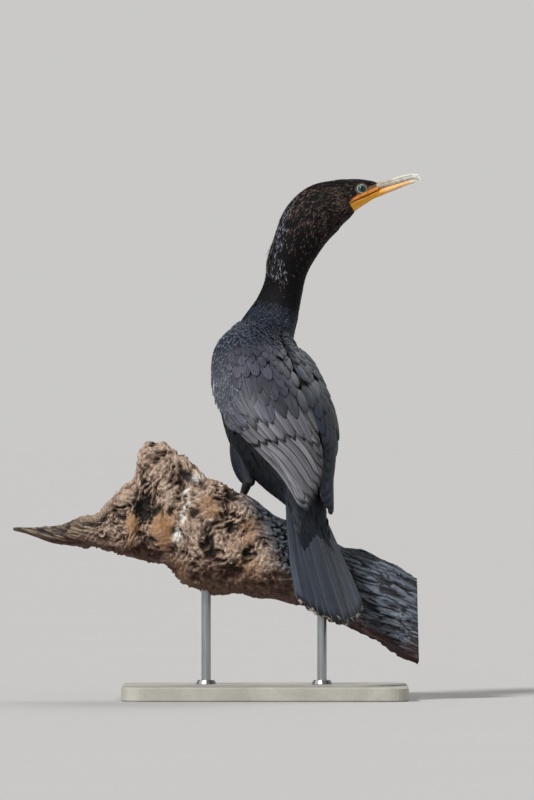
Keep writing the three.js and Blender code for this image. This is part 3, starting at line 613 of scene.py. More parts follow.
def skin_finish():
    """The skin: dark where the coat covers it, and orange, finely beaded leather on the bare face and throat."""
    s = Finish("skin and bare face")
    place, bare = s.enlarged(1), s.kept("bare")
    bead = s.cells(place, 1150.0)
    leather = s.blend(s.kept("throat"), "e58f2c", "f0a90c")
    leather = s.blend(s.kept("lores"), leather, s.blend(bead, "3a302c", "6d5a4e"))
    leather = s.blend(s.spread(s.cloud(place, 260.0), 0.45, 0.7, 0.0, 0.35), leather, "b8640f")
    leather = s.blend(s.spread(bead, 0.25, 0.75, 0.0, 0.22), leather, "8a5216")
    # painted shade: near black along the slit of the gape
    leather = s.blend(s.kept("gape"), leather, "1c0f0a")
    under = s.blend(s.cloud(place, 300.0), "0d0a0b", "221a1a")
    normal = s.bump(s.times(s.rest(bead), bare), 0.8, 0.0004)
    return s.done(
        s.blend(bare, under, leather), s.scaled(bead, 0.3, 0.4), normal,
        Subsurface_Weight=0.12, Subsurface_Radius=(0.003, 0.001, 0.0005), Subsurface_Scale=0.4,
    )


def horn_finish(name, base, tip, root, blotch, amount):
    """Horn: streaked along, blotched, paler to the tip and warmer at the root. 'share' runs from root to tip."""
    s = Finish(name)
    share = s.kept("share")
    marks = s.group(WEATHERING, Size=120.0, Stretch=(0.25, 1.6, 1.6))
    body = s.blend(s.spread(share, 0.0, 0.32), root, base)
    body = s.blend(s.spread(share, 0.62, 0.9), body, tip)
    body = s.blend(s.spread(marks["Blotches"], 0.5, 0.62, 0.0, amount), body, blotch)
    body = s.blend(s.spread(marks["Fibres"], 0.55, 0.8, 0.0, 0.35), body, blotch)
    # painted shade: dark in the bill's groove
    body = s.blend(s.kept("groove"), body, "2a2320")
    return s.done(
        body, s.scaled(marks["Specks"], 0.3, 0.25), s.bump(marks["Fibres"], 0.35, 0.0005),
        Subsurface_Weight=0.08, Subsurface_Scale=0.3,
    )


def eye_finish():
    """Glass eye: black pupil, emerald iris with fine spokes, dark rim. The map runs round it and out from the pupil."""
    s = Finish("glass eye")
    around, out, _ = s.mapped("iris")
    spokes = s.math("SINE", s.times(around, FULL_TURN * 48))
    spokes = s.times(spokes, s.cloud(s.enlarged(900), 1.0, 2.0))
    iris = s.blend(s.spread(out, 0.16, 0.4), "032822", "0b5a4d")
    iris = s.blend(s.spread(spokes, 0.0, 0.7, 0.0, 0.6), iris, "1f8370")
    iris = s.blend(s.spread(out, 0.4, 0.47), iris, "052220")
    body = s.blend(s.spread(out, 0.16, 0.18), "020303", iris)
    return s.done(body, 0.18, Specular_IOR_Level=0.2, Coat_Weight=0.55, Coat_Roughness=0.02)


def lid_finish():
    s = Finish("beaded eyelid")
    bead = s.cells(s.enlarged(1), 1500.0)
    return s.done(s.blend(s.spread(bead, 0.2, 0.7), "c3c6c4", "5c5a56"), 0.45, s.bump(s.rest(bead), 0.7, 0.0004))


def leg_finish():
    """Black webbed feet: small round scales with grey tops painted as highlight."""
    s = Finish("scaled black leg skin")
    place = s.enlarged(1)
    scale = s.cells(place, 620.0)
    groove = s.spread(s.cells(place, 620.0, "DISTANCE_TO_EDGE"), 0.0, 0.25)
    body = s.blend(s.spread(s.cloud(place, 90.0), 0.35, 0.7), "0d0e10", "2b2b2e")
    # painted highlight: grey on the top of each scale
    body = s.blend(s.spread(scale, 0.0, 0.5, 0.45, 0.0), body, "4a4a4c")
    return s.done(body, s.scaled(scale, 0.25, 0.38), s.bump(groove, 0.7, 0.0005))


def wood_finish():
    """The snag: curled burl in tan and brown with ochre patches and white droppings, and grey cracked wood beyond, with
    painted shade in crevices, cracks and on the underside and painted highlight on ridge tops.
    """
    s = Finish("weathered snag")
    fold, burl = s.kept("fold"), s.kept("burl")
    marks = s.group(WEATHERING, Size=34.0, Slope=0.42, Stretch=(0.07, 1.6, 1.6))
    curl = s.group(WEATHERING, Size=75.0, Stretch=(1, 1, 1))
    # tan from dark to pale by the relief: painted shade low in the folds, painted highlight on the ridge tops
    tan = s.blend(s.spread(fold, 0.25, 0.85), "5a4433", "c6ad99")
    tan = s.blend(s.spread(curl["Fibres"], 0.42, 0.62, 0.6, 0.0), tan, "4a362b")
    tan = s.blend(s.spread(curl["Fibres"], 0.55, 0.75, 0.0, 0.6), tan, "e6d8ca")
    tan = s.blend(s.spread(curl["Blotches"], 0.5, 0.68, 0.0, 0.5), tan, "70574a")
    # painted shade, near black, deep in the crevices
    tan = s.blend(s.spread(fold, 0.1, 0.42, 0.95, 0.0), tan, "150d09")
    tan = s.blend(s.times(s.kept("ochre"), s.spread(curl["Specks"], 0.3, 0.6, 0.35, 0.95)), tan, "a47a52")
    grain = s.spread(marks["Fibres"], 0.4, 0.62)
    grey = s.blend(grain, "171b22", "6b7480")
    grey = s.blend(s.kept("dry"), grey, s.blend(grain, "352921", "94836f"))
    grey = s.blend(s.spread(marks["Blotches"], 0.5, 0.7, 0.0, 0.5), grey, "3d312b")
    # painted shade in the cracks of the grey wood
    grey = s.blend(s.spread(fold, 0.1, 0.5, 0.9, 0.0), grey, "0a0808")
    body = s.blend(burl, grey, tan)
    # painted shade: dark reddish brown on the faces that look downwards
    body = s.blend(s.times(s.kept("under"), 0.75), body, s.blend(marks["Fibres"], "1d100c", "5e3426"))
    lime = s.math("MULTIPLY", s.kept("spill"), s.spread(curl["Specks"], 0.33, 0.46, 0.0, 1.4), clamp=True)
    body = s.blend(lime, body, "e6e2da")
    rough = s.plus(s.times(curl["Fibres"], burl), s.times(marks["Fibres"], s.math("SUBTRACT", 1.2, burl)))
    fine = s.plus(rough, s.times(curl["Specks"], 0.4))
    return s.done(body, s.scaled(curl["Specks"], 0.25, 0.72), s.bump(fine, 0.8, 0.0024))


def board_finish():
    """The base: painted board with a fine roller texture."""
    s = Finish("painted board")
    marks = s.group(WEATHERING, Size=18.0, Stretch=(0.3, 2, 2))
    body = s.blend(s.spread(marks["Blotches"], 0.3, 0.7), "9b988f", "aeaba2")
    body = s.blend(s.spread(marks["Specks"], 0.55, 0.75, 0.0, 0.35), body, "86837b")
    return s.done(body, s.scaled(marks["Specks"], 0.2, 0.45), s.bump(marks["Specks"], 0.25, 0.0006))


def steel_finish():
    """The rods: steel drawn lengthwise, with dull streaks."""
    s = Finish("drawn steel")
    drawn = s.group(WEATHERING, Size=60.0, Stretch=(3, 3, 0.1))["Fibres"]
    body = s.blend(drawn, "8d8f92", "b9bbbd")
    return s.done(body, s.scaled(drawn, 0.3, 0.2), s.bump(drawn, 0.2, 0.0003), Metallic=1.0)


def floor_finish():
    s = Finish("pale floor")
    return s.done(s.blend(s.cloud(s.enlarged(1), 3.0, 3.0), "b5b4b3", "b8b7b6"), 0.8)


# barbs along a feather, widths of margin and shaft, how dark the shaft is, gloss and roughness
WING_FINISH = feather_finish("wing feathers", 30.0, 0.13, 0.05, 0.75, 0.3, 0.42)
COAT_FINISH = feather_finish("body feathers", 12.0, 0.34, 0.05, 0.2, 0.22, 0.5)
COVERT_FINISH = feather_finish("mantle and small coverts", 14.0, 0.32, 0.06, 0.35, 0.25, 0.48)
NECK_FINISH = feather_finish("neck and head feathers", 6.0, 0.5, 0.06, 0.0, 0.14, 0.6)
TAIL_FINISH = feather_finish("tail feathers", 90.0, 0.17, 0.045, 0.6, 0.3, 0.42, worn="a39a8c", shaft_tint="6f7681")
SKIN_FINISH = skin_finish()
# base, tip, root and blotches, and how strong the blotches are
UPPER_HORN = horn_finish("upper bill horn", "cfcabf", "ebe8e0", "a59a8d", "6b6259", 0.4)
LOWER_HORN = horn_finish("lower bill horn", "e0ae72", "d9c5a6", "eaa02c", "a5773f", 0.3)
EYE_FINISH = eye_finish()
LID_FINISH = lid_finish()
LEG_FINISH = leg_finish()
WOOD_FINISH = wood_finish()


# Skin

def face_x(z):
    heights, borders = zip(*FACE_BORDER)
    return np.interp(z, heights, borders)


def bare_share(p):
    """1 on the bare face and throat, 0 under the coat."""
    on_face = ease(p[..., 0] - face_x(p[..., 2]), -0.8, 0.8)
    ring = np.hypot(p[..., 0] - EYE["x"], p[..., 2] - EYE["z"])
    on_head = ease(p[..., 0], 80, 86)
    return np.maximum(on_face, 1 - ease(ring, 5.4, 6.2)) * on_head


def gape_distance(p):
    (x0, z0), (x1, z1) = GAPE
    run = (p[..., 0] - x0) * (x1 - x0) + (p[..., 2] - z0) * (z1 - z0)
    along = np.clip(run / ((x1 - x0) ** 2 + (z1 - z0) ** 2), 0, 1)
    return np.hypot(p[..., 0] - x0 - along * (x1 - x0), p[..., 2] - z0 - along * (z1 - z0))


def coat_depth(t):
    """How deep the skin lies under the solids' surface."""
    return np.interp(t, [0.73, 2, 8, 11, 13.5, 16, 17.2, 19], [1.5, 3.0, 3.0, 2.0, 1.6, 1.0, 0.3, 0.0])


def make_thigh(side):
    """A thigh, slimmer than its solid and a little inward of it, to leave room for its feathers."""
    sections = []
    for (along, left, down), radius in THIGH:
        place = body_place(along, side * (left - THIGH_INWARD), -down)
        sections.append((place, *[radius * THIGH_SLIM] * 3, BODY_TURN))
    return Tube(sections)


THIGHS = {side: make_thigh(side) for side in (1, -1)}
TAIL_WAY = unit(TAIL_WAY)
TAIL_OUT = unit(-np.cross(TAIL_WAY, BODY.axes(SKIN_START)[2]))
TAIL_ACROSS = unit(np.cross(TAIL_OUT, TAIL_WAY))


def tail_place(down, left, out):
    return body_place(0, 0, -2) + TAIL_WAY * down + TAIL_ACROSS * left + TAIL_OUT * out


RUMP = Tube([
    (body_place(2, 0, 0), 27, 14, 23, BODY_TURN),
    (tail_place(10, 0, -1), 25, 11, 18, BODY_TURN),
    (tail_place(26, 0, -2.5), 22, 6.5, 11, BODY_TURN),
    (tail_place(44, 0, -3.6), 20, 3.8, 5, BODY_TURN),
    (tail_place(60, 0, -4), 18, 2.6, 2.2, BODY_TURN),
])


def make_skin():
    """One skin under the coat and over the bare face, with the thighs and the rump in the same mesh."""
    # rings lie closer together on the head
    lengths = ((SKIN_START, 13.4, 150), (13.45, 16.4, 60), (16.42, SKIN_END, 130))
    t, around = np.concatenate([np.linspace(*length) for length in lengths]), 128
    t, angle = np.meshgrid(t, np.arange(around) * 2 * np.pi / around, indexing="ij")
    p = BODY.point(t, angle, -coat_depth(t))
    ring = np.hypot(p[..., 0] - EYE["x"], p[..., 2] - EYE["z"])
    outward, on_head = np.abs(p[..., 1] - HEAD_Y), t > HEAD_START
    socket = np.where(ring < 8, 1 - ease(ring, 4.0, 5.4), 0) * on_head
    depth = np.maximum(0, outward - 7.4) * socket
    brow = 0.7 * bell(ring, 6.2, 1.2) * on_head
    p[..., 1] += np.sign(p[..., 1] - HEAD_Y) * (brow - depth)
    slit = bell(gape_distance(p), 0, 0.75) * on_head
    fold = 0.35 * bell(gape_distance(p), 1.6, 0.7) * on_head
    p[..., 1] += np.sign(p[..., 1] - HEAD_Y) * (fold - 1.3 * slit) * np.minimum(1, outward / 4)
    points, faces = [p.reshape(-1, 3)], grid_faces(len(t), around)
    count = p[..., 0].size
    extra = [(THIGHS[1], 0, 4, 24, 28, -1.2), (THIGHS[-1], 0, 4, 24, 28, -1.2), (RUMP, 0, 4, 24, 32, -1.5)]
    for tube, start, end, rings, round_, height in extra:
        grid = tube_grid(tube, start, end, rings, round_, height)[0]
        faces += grid_faces(rings, round_, count)
        points.append(grid.reshape(-1, 3))
        count += rings * round_
    points = np.concatenate(points)
    made = mesh_piece("skin", points, faces, SKIN_FINISH)
    x, bare = points[:, 0], bare_share(points)
    over_gape = points[:, 2] - (GAPE[0][1] + (x - GAPE[0][0]) * GAPE_SLOPE)
    put_value(made.data, "bare", bare)
    # the gape's line, painted dark in the finish as shade in its slit
    put_value(made.data, "gape", bell(gape_distance(points), 0, 0.7) * (x > 85) * bare)
    put_value(made.data, "lores", ease(over_gape, 3.8, 5.4) * bare)
    put_value(made.data, "throat", 1 - ease(over_gape, -3.0, 2.0))
    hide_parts("torso", "neck_lower", "neck_upper", "head", "thigh_left", "thigh_right", "gular_pouch")


def make_eyes():
    """Glass eyes, each in a beaded rim of lid."""
    for side, word in ((1, "left"), (-1, "right")):
        rings, spokes = 40, 64
        a, b = np.meshgrid(np.linspace(0.0, 1, rings), np.arange(spokes) / spokes, indexing="ij")
        tilt, turn = a * np.pi * 0.78, b * 2 * np.pi
        bulge = 1 + 0.05 * bell(a, 0, 0.28)
        r = EYE["radius"] * bulge
        p = np.stack([r * np.sin(tilt) * np.cos(turn), side * r * np.cos(tilt), r * np.sin(tilt) * np.sin(turn)], -1)
        p = turned(p, -side * EYE["forwards"]) + np.array([EYE["x"], HEAD_Y + side * EYE["outward"], EYE["z"]])
        made = mesh_piece("eye_" + word + "_glass", p.reshape(-1, 3), grid_faces(rings, spokes), EYE_FINISH)
        put_map(made.data, "iris", np.stack([b, a], -1).reshape(-1, 2))
        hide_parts("eye_" + word)
        # the beaded edge of the lids
        n, m = LID["around"], LID["across"]
        i, k = np.meshgrid(np.arange(n), np.arange(m), indexing="ij")
        u, v = i * 2 * np.pi / n, k * 2 * np.pi / m
        swell = LID["tube"] * (1 + 0.22 * np.cos(LID["beads"] * u)) * (1 + 0.25 * bell(u, np.pi / 2, 0.8))
        radius = LID["radius"] + swell * np.cos(v)
        q = np.stack([radius * np.cos(u), side * 0.8 * swell * np.sin(v), 0.94 * radius * np.sin(u)], -1)
        q = turned(q, -side * LID["forwards"]) + np.array([EYE["x"], HEAD_Y + side * LID["outward"], EYE["z"]])
        ring = np.stack([i * m + k, (i + 1) % n * m + k, (i + 1) % n * m + (k + 1) % m, i * m + (k + 1) % m], -1)
        lid = mesh_piece("eyelid_" + word, q.reshape(-1, 3), ring.reshape(-1, 4), LID_FINISH)


def make_bill():
    """Both halves of the bill, the upper one grooved and hooked."""
    for name, rows, finish, slot, grooved in (
        ("upper_bill", UPPER_BILL, UPPER_HORN, "horn_bill", True),
        ("lower_bill", LOWER_BILL, LOWER_HORN, "horn_lower_bill", False),
    ):
        meet = 0 if grooved else 1.1
        tube = Tube([(np.array([x, HEAD_Y, z]), side, back + meet, belly, 90) for x, z, side, back, belly in rows])
        rings, around = 150, 64
        _, t, angle = tube_grid(tube, -0.45, tube.last, rings, around)
        groove = np.zeros_like(t)
        if grooved:
            near = np.minimum(np.abs(angle - GROOVE_ANGLE), np.abs(2 * np.pi - angle - GROOVE_ANGLE))
            groove = bell(near, 0, 0.1) * ease(t, 0.1, 0.5) * (1 - ease(t, 4.0, 4.6))
            nail = bell(t, 4.1, 0.12)
            plates = 0.12 * np.sin(t * 21 + 2 * np.cos(angle)) * (np.cos(angle) > 0.3) * (1 - ease(t, 2.5, 3.6))
            p = tube.point(t, angle, -0.55 * groove - 0.2 * nail + plates)
        else:
            p = tube.point(t, angle, 0.0)
            limit = np.interp(p[..., 0], [r[0] for r in UPPER_BILL], [r[1] - r[4] - 0.25 for r in UPPER_BILL])
            p[..., 2] = np.minimum(p[..., 2], np.maximum(limit, p[..., 2] - 1.2))
        made = mesh_piece(name + "_horn", p.reshape(-1, 3), grid_faces(rings, around), finish)
        put_value(made.data, "share", (t / tube.last).ravel())
        # where the groove lies, painted dark in the finish as shade
        put_value(made.data, "groove", groove.ravel())
        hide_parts(name)


# The coat

def tinted(code, count, vary=0.12):
    return hue(code)[None] * np.exp(DRAW.normal(0, vary, (count, 1)))


def picked(chance, first, second):
    """For each feather the first colour, or by chance the second."""
    take = DRAW.random(len(first))[:, None] < np.asarray(chance).reshape(-1, 1)
    return np.where(take, second, first)


def rows_on(cover, t_from, t_to, spread, length, width, overlap=0.4):
    """Roots in staggered rows from t_from down to t_to. spread, length and width are functions of the section."""
    root, tip, size = [], [], []
    t, odd = t_from, 0
    while t > t_to:
        low, high = spread(t)
        reach, wide = length(t), width(t)
        arc = np.linalg.norm(np.diff(cover.at(np.full(25, t), np.linspace(low, high, 25)), axis=0), axis=1).sum()
        count = max(1, int(arc / (0.72 * wide)))
        place = (np.arange(count) + 0.5 + 0.5 * (odd - 0.5)) / count
        degrees = low + (high - low) * place + DRAW.normal(0, 0.12, count) * (high - low) / count
        shift = DRAW.normal(0, 0.14, count) * reach / cover.tube.stride(t)
        step = reach / cover.tube.stride(t)
        here = np.stack([t + shift, degrees], -1)
        sway = DRAW.normal(0, 0.1, count) * (high - low) / count
        root.append(here)
        tip.append(here + np.stack([-step * DRAW.normal(1, 0.08, count), sway], -1))
        size.append(np.full(count, wide))
        t -= overlap * step
        odd = 1 - odd
    return np.concatenate(root), np.concatenate(tip), np.concatenate(size)


def rows_down(tube, t_from, t_to, spread, length, width):
    """Rows that run to a tube's last section: laid on it as counted from its other end, then turned back."""
    root, tip, size = rows_on(Cover(Reversed(tube)), t_from, t_to, spread, length, width)
    for place in (root, tip):
        place[:, 0] = tube.last - place[:, 0]
    return root, tip, size


def make_body_coat():
    """Breast, belly and flanks: dark feathers with a dull blue sheen painted into their colours, larger than the
    neck's.
    """
    coat, cover = Coat(), Cover(BODY)

    def under_wings(t):
        along = along_at(t)
        low = float(edge_at(LOWER_EDGE, along)) - 12 if along < 192 else mix(105, 0, min(1, (along - 192) / 8))
        return low, 360 - low

    places = [1, 3, 7, 8, 9.3]
    length, width = graph(places, [14, 15, 13, 9.5, 7.5]), graph(places, [6.4, 6.4, 5.4, 4.6, 3.4])
    root, tip, size = rows_on(cover, 9.3, 0.95, under_wings, length, width)
    n = len(root)
    upper = ease(root[:, 0], 7.2, 8.6)[:, None]
    # the dull blue in these colours is painted sheen
    centre = mix(tinted("0f1216", n, 0.2), tinted("151a24", n, 0.25), upper)
    edge = mix(tinted("1c2129", n, 0.2), tinted("465061", n, 0.35), upper)
    edge = picked(ease(root[:, 0], 8.7, 9.3), edge, tinted("1d1b1e", n))
    coat.lay(cover, root, tip, size, ROUND_VANE, centre, edge,
             sunk=1.2, lift=0.5, rows=5, columns=5, camber=0.2, tilt=0.25)
    made = coat.piece("body_feathers", COAT_FINISH)


def make_neck_coat():
    """Neck: narrow soft feathers, brown-black with pale brown flecks, silvery and ragged on the nape."""
    coat, cover = Coat(), Cover(BODY)
    length, width = graph([9.2, 10.5, 12.5, 14.2], [8, 7.2, 6.8, 5.8]), graph([9.2, 10.5, 14.2], [2.8, 2.1, 1.8])
    root, tip, size = rows_on(cover, 14.2, 9.2, all_round, length, width, 0.36)
    n = len(root)
    t, turn = root[:, 0], np.abs((root[:, 1] + 180) % 360 - 180)
    centre = tinted("080607", n, 0.25)
    dry = 0.06 + 0.36 * ease(t, 11.6, 13.6)
    edge = picked(dry, tinted("0b0809", n, 0.25), tinted("5f4d46", n, 0.45))
    grey = (1 - ease(turn, 22, 52)) * ease(t, 10.3, 11.1) * (1 - ease(t, 12.8, 14.2)) * 0.62
    edge = picked(grey, edge, tinted("6c6c76", n, 0.4))
    edge = picked((1 - ease(t, 9.4, 10.4)) * 0.8, edge, tinted("12161f", n))
    ragged = bell(turn, 0, 34) * bell(t, 11.15, 0.5)
    tip[:, 0] -= ragged * 0.3 * DRAW.random(n)
    lift = 0.1 + 6.5 * ragged * DRAW.random(n) ** 1.5 + 0.4 * DRAW.random(n)
    coat.lay(cover, root, tip, size, POINTED_VANE, centre, edge,
             sunk=1.1, lift=lift, rows=5, columns=3, camber=0.15, ragged=0.12)
    # loose hair-thin feathers that stand off the nape
    n = 90
    root = np.stack([11.35 + 0.3 * DRAW.normal(size=n), DRAW.normal(0, 9, n)], -1)
    tip = root - np.stack([DRAW.uniform(0.35, 0.7, n), DRAW.normal(0, 5, n)], -1)
    centre, edge = tinted("0b0809", n), tinted("3a3534", n, 0.4)
    lift = DRAW.uniform(0.8, 5.5, n)
    coat.lay(cover, root, tip, 0.9, POINTED_VANE, centre, edge, sunk=1.1, lift=lift, rows=6, columns=3)
    made = coat.piece("neck_feathers", NECK_FINISH)


def make_head_coat():
    """Head: the smallest feathers, laid back from the bill and ending at the bare face."""
    coat, cover = Coat(), Cover(BODY)
    length, width = graph([14, 16, 18.5], [5.6, 4.2, 2.2]), graph([14, 16, 18.5], [1.8, 1.35, 0.8])
    root, tip, size = rows_on(cover, 18.9, 14.0, all_round, length, width, 0.36)
    where = cover.at(root[:, 0], root[:, 1])
    keep = bare_share(where) < 0.35
    root, tip, size, where = root[keep], tip[keep], size[keep], where[keep]
    n = len(root)
    centre = tinted("090605", n, 0.25)
    edge = picked(0.42, tinted("0d0908", n, 0.25), tinted("5f4c44", n, 0.45))
    crown = ease(where[:, 2], 536, 545)
    edge = picked(crown * 0.8, edge, tinted("0d0a09", n))
    cheek = patch(where[:, 0], where[:, 2], 84, 9, 521, 6)
    edge = picked(cheek * 0.6, edge, tinted("7a6a62", n, 0.25))
    sunk = 0.25 + 0.9 * (1 - ease(root[:, 0], 14.5, 17))
    coat.lay(cover, root, tip, size, POINTED_VANE, centre, edge,
             sunk=sunk, lift=0.25, rows=4, columns=3, camber=0.15, ragged=0.1)
    made = coat.piece("head_feathers", NECK_FINISH)


def make_thigh_coat():
    """Thighs: small dark feathers that run down to the ankle."""
    coat = Coat()
    length, width = graph([0, 1, 4], [6, 11, 13]), graph([0, 1, 4], [2.6, 4.2, 5])
    for side in (1, -1):
        root, tip, size = rows_down(THIGHS[side], 3.7, 0.2, all_round, length, width)
        tip[:, 0] = np.minimum(tip[:, 0], 4.15)
        n = len(root)
        spot = np.stack([(root[:, 1] % 360) / 720 + (0.5 if side < 0 else 0), root[:, 0] / 4], -1)
        centre, edge = tinted("12161d", n), tinted("262d3a", n, 0.2)
        coat.lay(Cover(THIGHS[side]), root, tip, size, ROUND_VANE, centre, edge,
                 sunk=0.4, lift=0.7, rows=5, columns=3, place=spot)
    made = coat.piece("thigh_feathers", COAT_FINISH)


class Reversed(Tube):
    """The same tube counted from its other end."""

    def __init__(self, tube):
        self.last = tube.last
        for name in ("at", "side", "back", "belly", "turn"):
            setattr(self, name, getattr(tube, name)[::-1])


# colours of each tract: centre and edge, a copy with painted light for the left side and a copy with painted bluish
# shade for the right
MANTLE = {1: ("151922", "586070"), -1: ("121721", "414b5c")}
LESSER = {1: ("3f424b", "696c74"), -1: ("161d29", "414d60")}
SCAPULAR = {1: ("3e3f49", "101218"), -1: ("2a3039", "0e1117")}
MIDDLE = {1: ("4e4f58", "1c1e25"), -1: ("272d39", "0e1219")}
GREATER = {1: ("5d5d64", "1c1e24"), -1: ("262c38", "0e1219")}
TERTIAL = {1: ("6f6f72", "1e2025"), -1: ("262c38", "0e1219")}
FLIGHT = {1: ("65656a", "26282d"), -1: ("222a35", "0e1118")}


def wing_map(degrees, along):
    return np.stack([(degrees + 40) / 180, (along + 60) / 280], -1)


def wing_tier(coat, side, roots, tips, count, width, shape, colours, sunk, lift, rows, columns, jitter, **more):
    """One row of long feathers, from the wing's lower edge to its inner edge. Places are along and degrees."""
    share = np.linspace(0, 1, count)[:, None]
    root = mix(np.array(roots[0], float), np.array(roots[1], float), share)
    if len(tips) == 2:
        tip = mix(np.array(tips[0], float), np.array(tips[1], float), share)
    else:
        tip = np.array(tips, float)
    tip = tip + jitter * DRAW.normal(size=tip.shape) * np.array([1.0, 0.4])
    tip[:, 1] = np.maximum(tip[:, 1], edge_at(INNER_EDGE[side], tip[:, 0]) + 0.5)
    root[:, 1] = np.maximum(root[:, 1], edge_at(INNER_EDGE[side], root[:, 0]) + 4)
    wide = mix(width[0], width[1], share[:, 0])
    stack = 1.4 * share[:, 0]
    place = wing_map(root[:, 1], root[:, 0])
    for p in (root, tip):
        p[:, 0] = section_at(p[:, 0])
        p[:, 1] *= side
    # each side takes its own copy of the colours: painted light on the left wing, painted shade on the right
    centre, edge = tinted(colours[side][0], count, 0.1), tinted(colours[side][1], count, 0.1)
    coat.lay(Cover(BODY, side), root, tip, wide, shape, centre, edge, sunk - stack * 0.4, lift + stack, rows, columns,
             place=place, tilt=-side * 0.75, **more)


def wing_rows(coat, side, top, bottom, inner, outer, places, lengths, widths, shape, colours, fade=None, **more):
    """Many rows of smaller feathers between two shares of the wing's breadth (0 at the inner edge, 1 at the lower)."""
    cover = Cover(BODY, side)

    def spread(t):
        along = along_at(t)
        low, high = float(edge_at(INNER_EDGE[side], along)) + 2.5, float(edge_at(LOWER_EDGE, along)) - 1
        first, second = mix(low, high, inner(along)) * side, mix(low, high, outer(along)) * side
        return min(first, second), max(first, second)

    length, width = (lambda t, values=values: np.interp(along_at(t), places, values) for values in (lengths, widths))
    root, tip, size = rows_on(cover, section_at(top), section_at(bottom), spread, length, width, 0.42)
    n = len(root)
    along = along_at(root[:, 0])
    # each side takes its own copy of the colours: painted light on the left wing, painted shade on the right
    centre, edge = tinted(colours[side][0], n), tinted(colours[side][1], n)
    if fade:
        share = ease(along, *fade[1])[:, None]
        centre = mix(centre, tinted(fade[0][side][0], n), 1 - share)
        edge = mix(edge, tinted(fade[0][side][1], n), 1 - share)
    place = wing_map(root[:, 1] * side, along)
    coat.lay(cover, root, tip, size, shape, centre, edge, place=place, tilt=-side * 0.35, **more)


def make_wing(side, word):
    """A folded wing: its long feathers, its small coverts and the dark body under them."""
    long, small = Coat(), Coat()
    # flight feathers, longest nearest the lower edge, the three inner ones over them, and two tiers of coverts
    wing_tier(long, side, [(62, 91), (100, 46)], FLIGHT_TIPS, 9, (15, 18), LONG_VANE, FLIGHT, 2.6, 0.2, 20, 9, 0.0,
              thick=0.3, camber=0.06, ragged=0.015)
    wing_tier(long, side, [(36, 82), (58, 72)], [(-26, 47), (-31, 40)], 3, (8, 11), LONG_VANE, FLIGHT,
              2.2, -0.2, 14, 7, 0.0, thick=0.3, camber=0.05, ragged=0.015)
    wing_tier(long, side, [(92, 40), (108, 8)], [(16, -10), (44, -10)], 4, (14, 13), ROUND_VANE, TERTIAL,
              1.8, 0.9, 14, 7, 1.0, thick=0.3, camber=0.08, ragged=0.02)
    wing_tier(long, side, [(102, 99), (112, 22)], [(46, 85), (32, 8)], 10, (11, 15), ROUND_VANE, GREATER,
              1.2, 1.1, 12, 7, 4, thick=0.3, camber=0.08, ragged=0.02)
    wing_tier(small, side, [(100, 106), (118, 56)], [(72, 94), (60, 52)], 11, (8, 10), ROUND_VANE, MIDDLE,
              0.4, 1.9, 9, 6, 4.5, camber=0.12, ragged=0.03)
    # the small coverts of the bend, then the mantle and the scapulars
    covert_edge = graph([80, 130, 170], [0.62, 0.45, 0.3])
    scapular_edge = graph([90, 130, 170, 210], [0.5, 0.58, 0.62, 1.0])
    inner_edge, lower_edge = (lambda along: 0.0), (lambda along: 1.0)
    wing_rows(small, side, 200, 84, covert_edge, lower_edge, [80, 150, 204], [17, 13, 8], [6.6, 5.8, 4.4],
              POINTED_VANE, MANTLE, (LESSER, (140, 185)), sunk=0.5, lift=1.9, rows=6, columns=5, camber=0.2)
    wing_rows(small, side, 207, 146, inner_edge, scapular_edge, [146, 168, 212], [19, 12, 7.5], [10, 7, 4.4],
              ROUND_VANE, MANTLE, (SCAPULAR, (148, 184)),
              sunk=0.3, lift=2.4, rows=8, columns=7, camber=0.18, ragged=0.03)
    wing_rows(long, side, 168, 90, inner_edge, scapular_edge, [90, 120, 168], [42, 33, 21], [17, 14.5, 10],
              POINTED_VANE, SCAPULAR, sunk=0.2, lift=2.8, rows=10, columns=7, camber=0.12, ragged=0.02)
    made = long.piece("wing_" + word + "_feathers", WING_FINISH)
    coverts = small.piece("wing_" + word + "_coverts", COVERT_FINISH)
    # the wing's dark body under its feathers
    start, rings, across = WING["tip"] + 24, 60, 26
    s, k = np.meshgrid(np.linspace(0, 1, rings), np.linspace(0, 1, across), indexing="ij")
    along = start + (WING["shoulder"] + 3 - start) * s
    low, high = edge_at(INNER_EDGE[side], along) + 3, edge_at(LOWER_EDGE, along) - 2
    rounding = np.clip((WING["shoulder"] + 6 - along) / 34, 0.05, 1) ** 0.5
    degrees = low + (high - low) * (0.64 + 0.36 * rounding) * k
    cover = Cover(BODY, side)
    top = cover.at(section_at(along), degrees * side, -1.4)
    bottom = BODY.point(section_at(along), np.radians(degrees * side), -4.5)[:, ::-1]
    loop = np.concatenate([top, bottom], 1)
    body = mesh_piece("wing_" + word + "_body", loop.reshape(-1, 3), grid_faces(rings, 2 * across), SKIN_FINISH)
    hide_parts("wing_" + word)


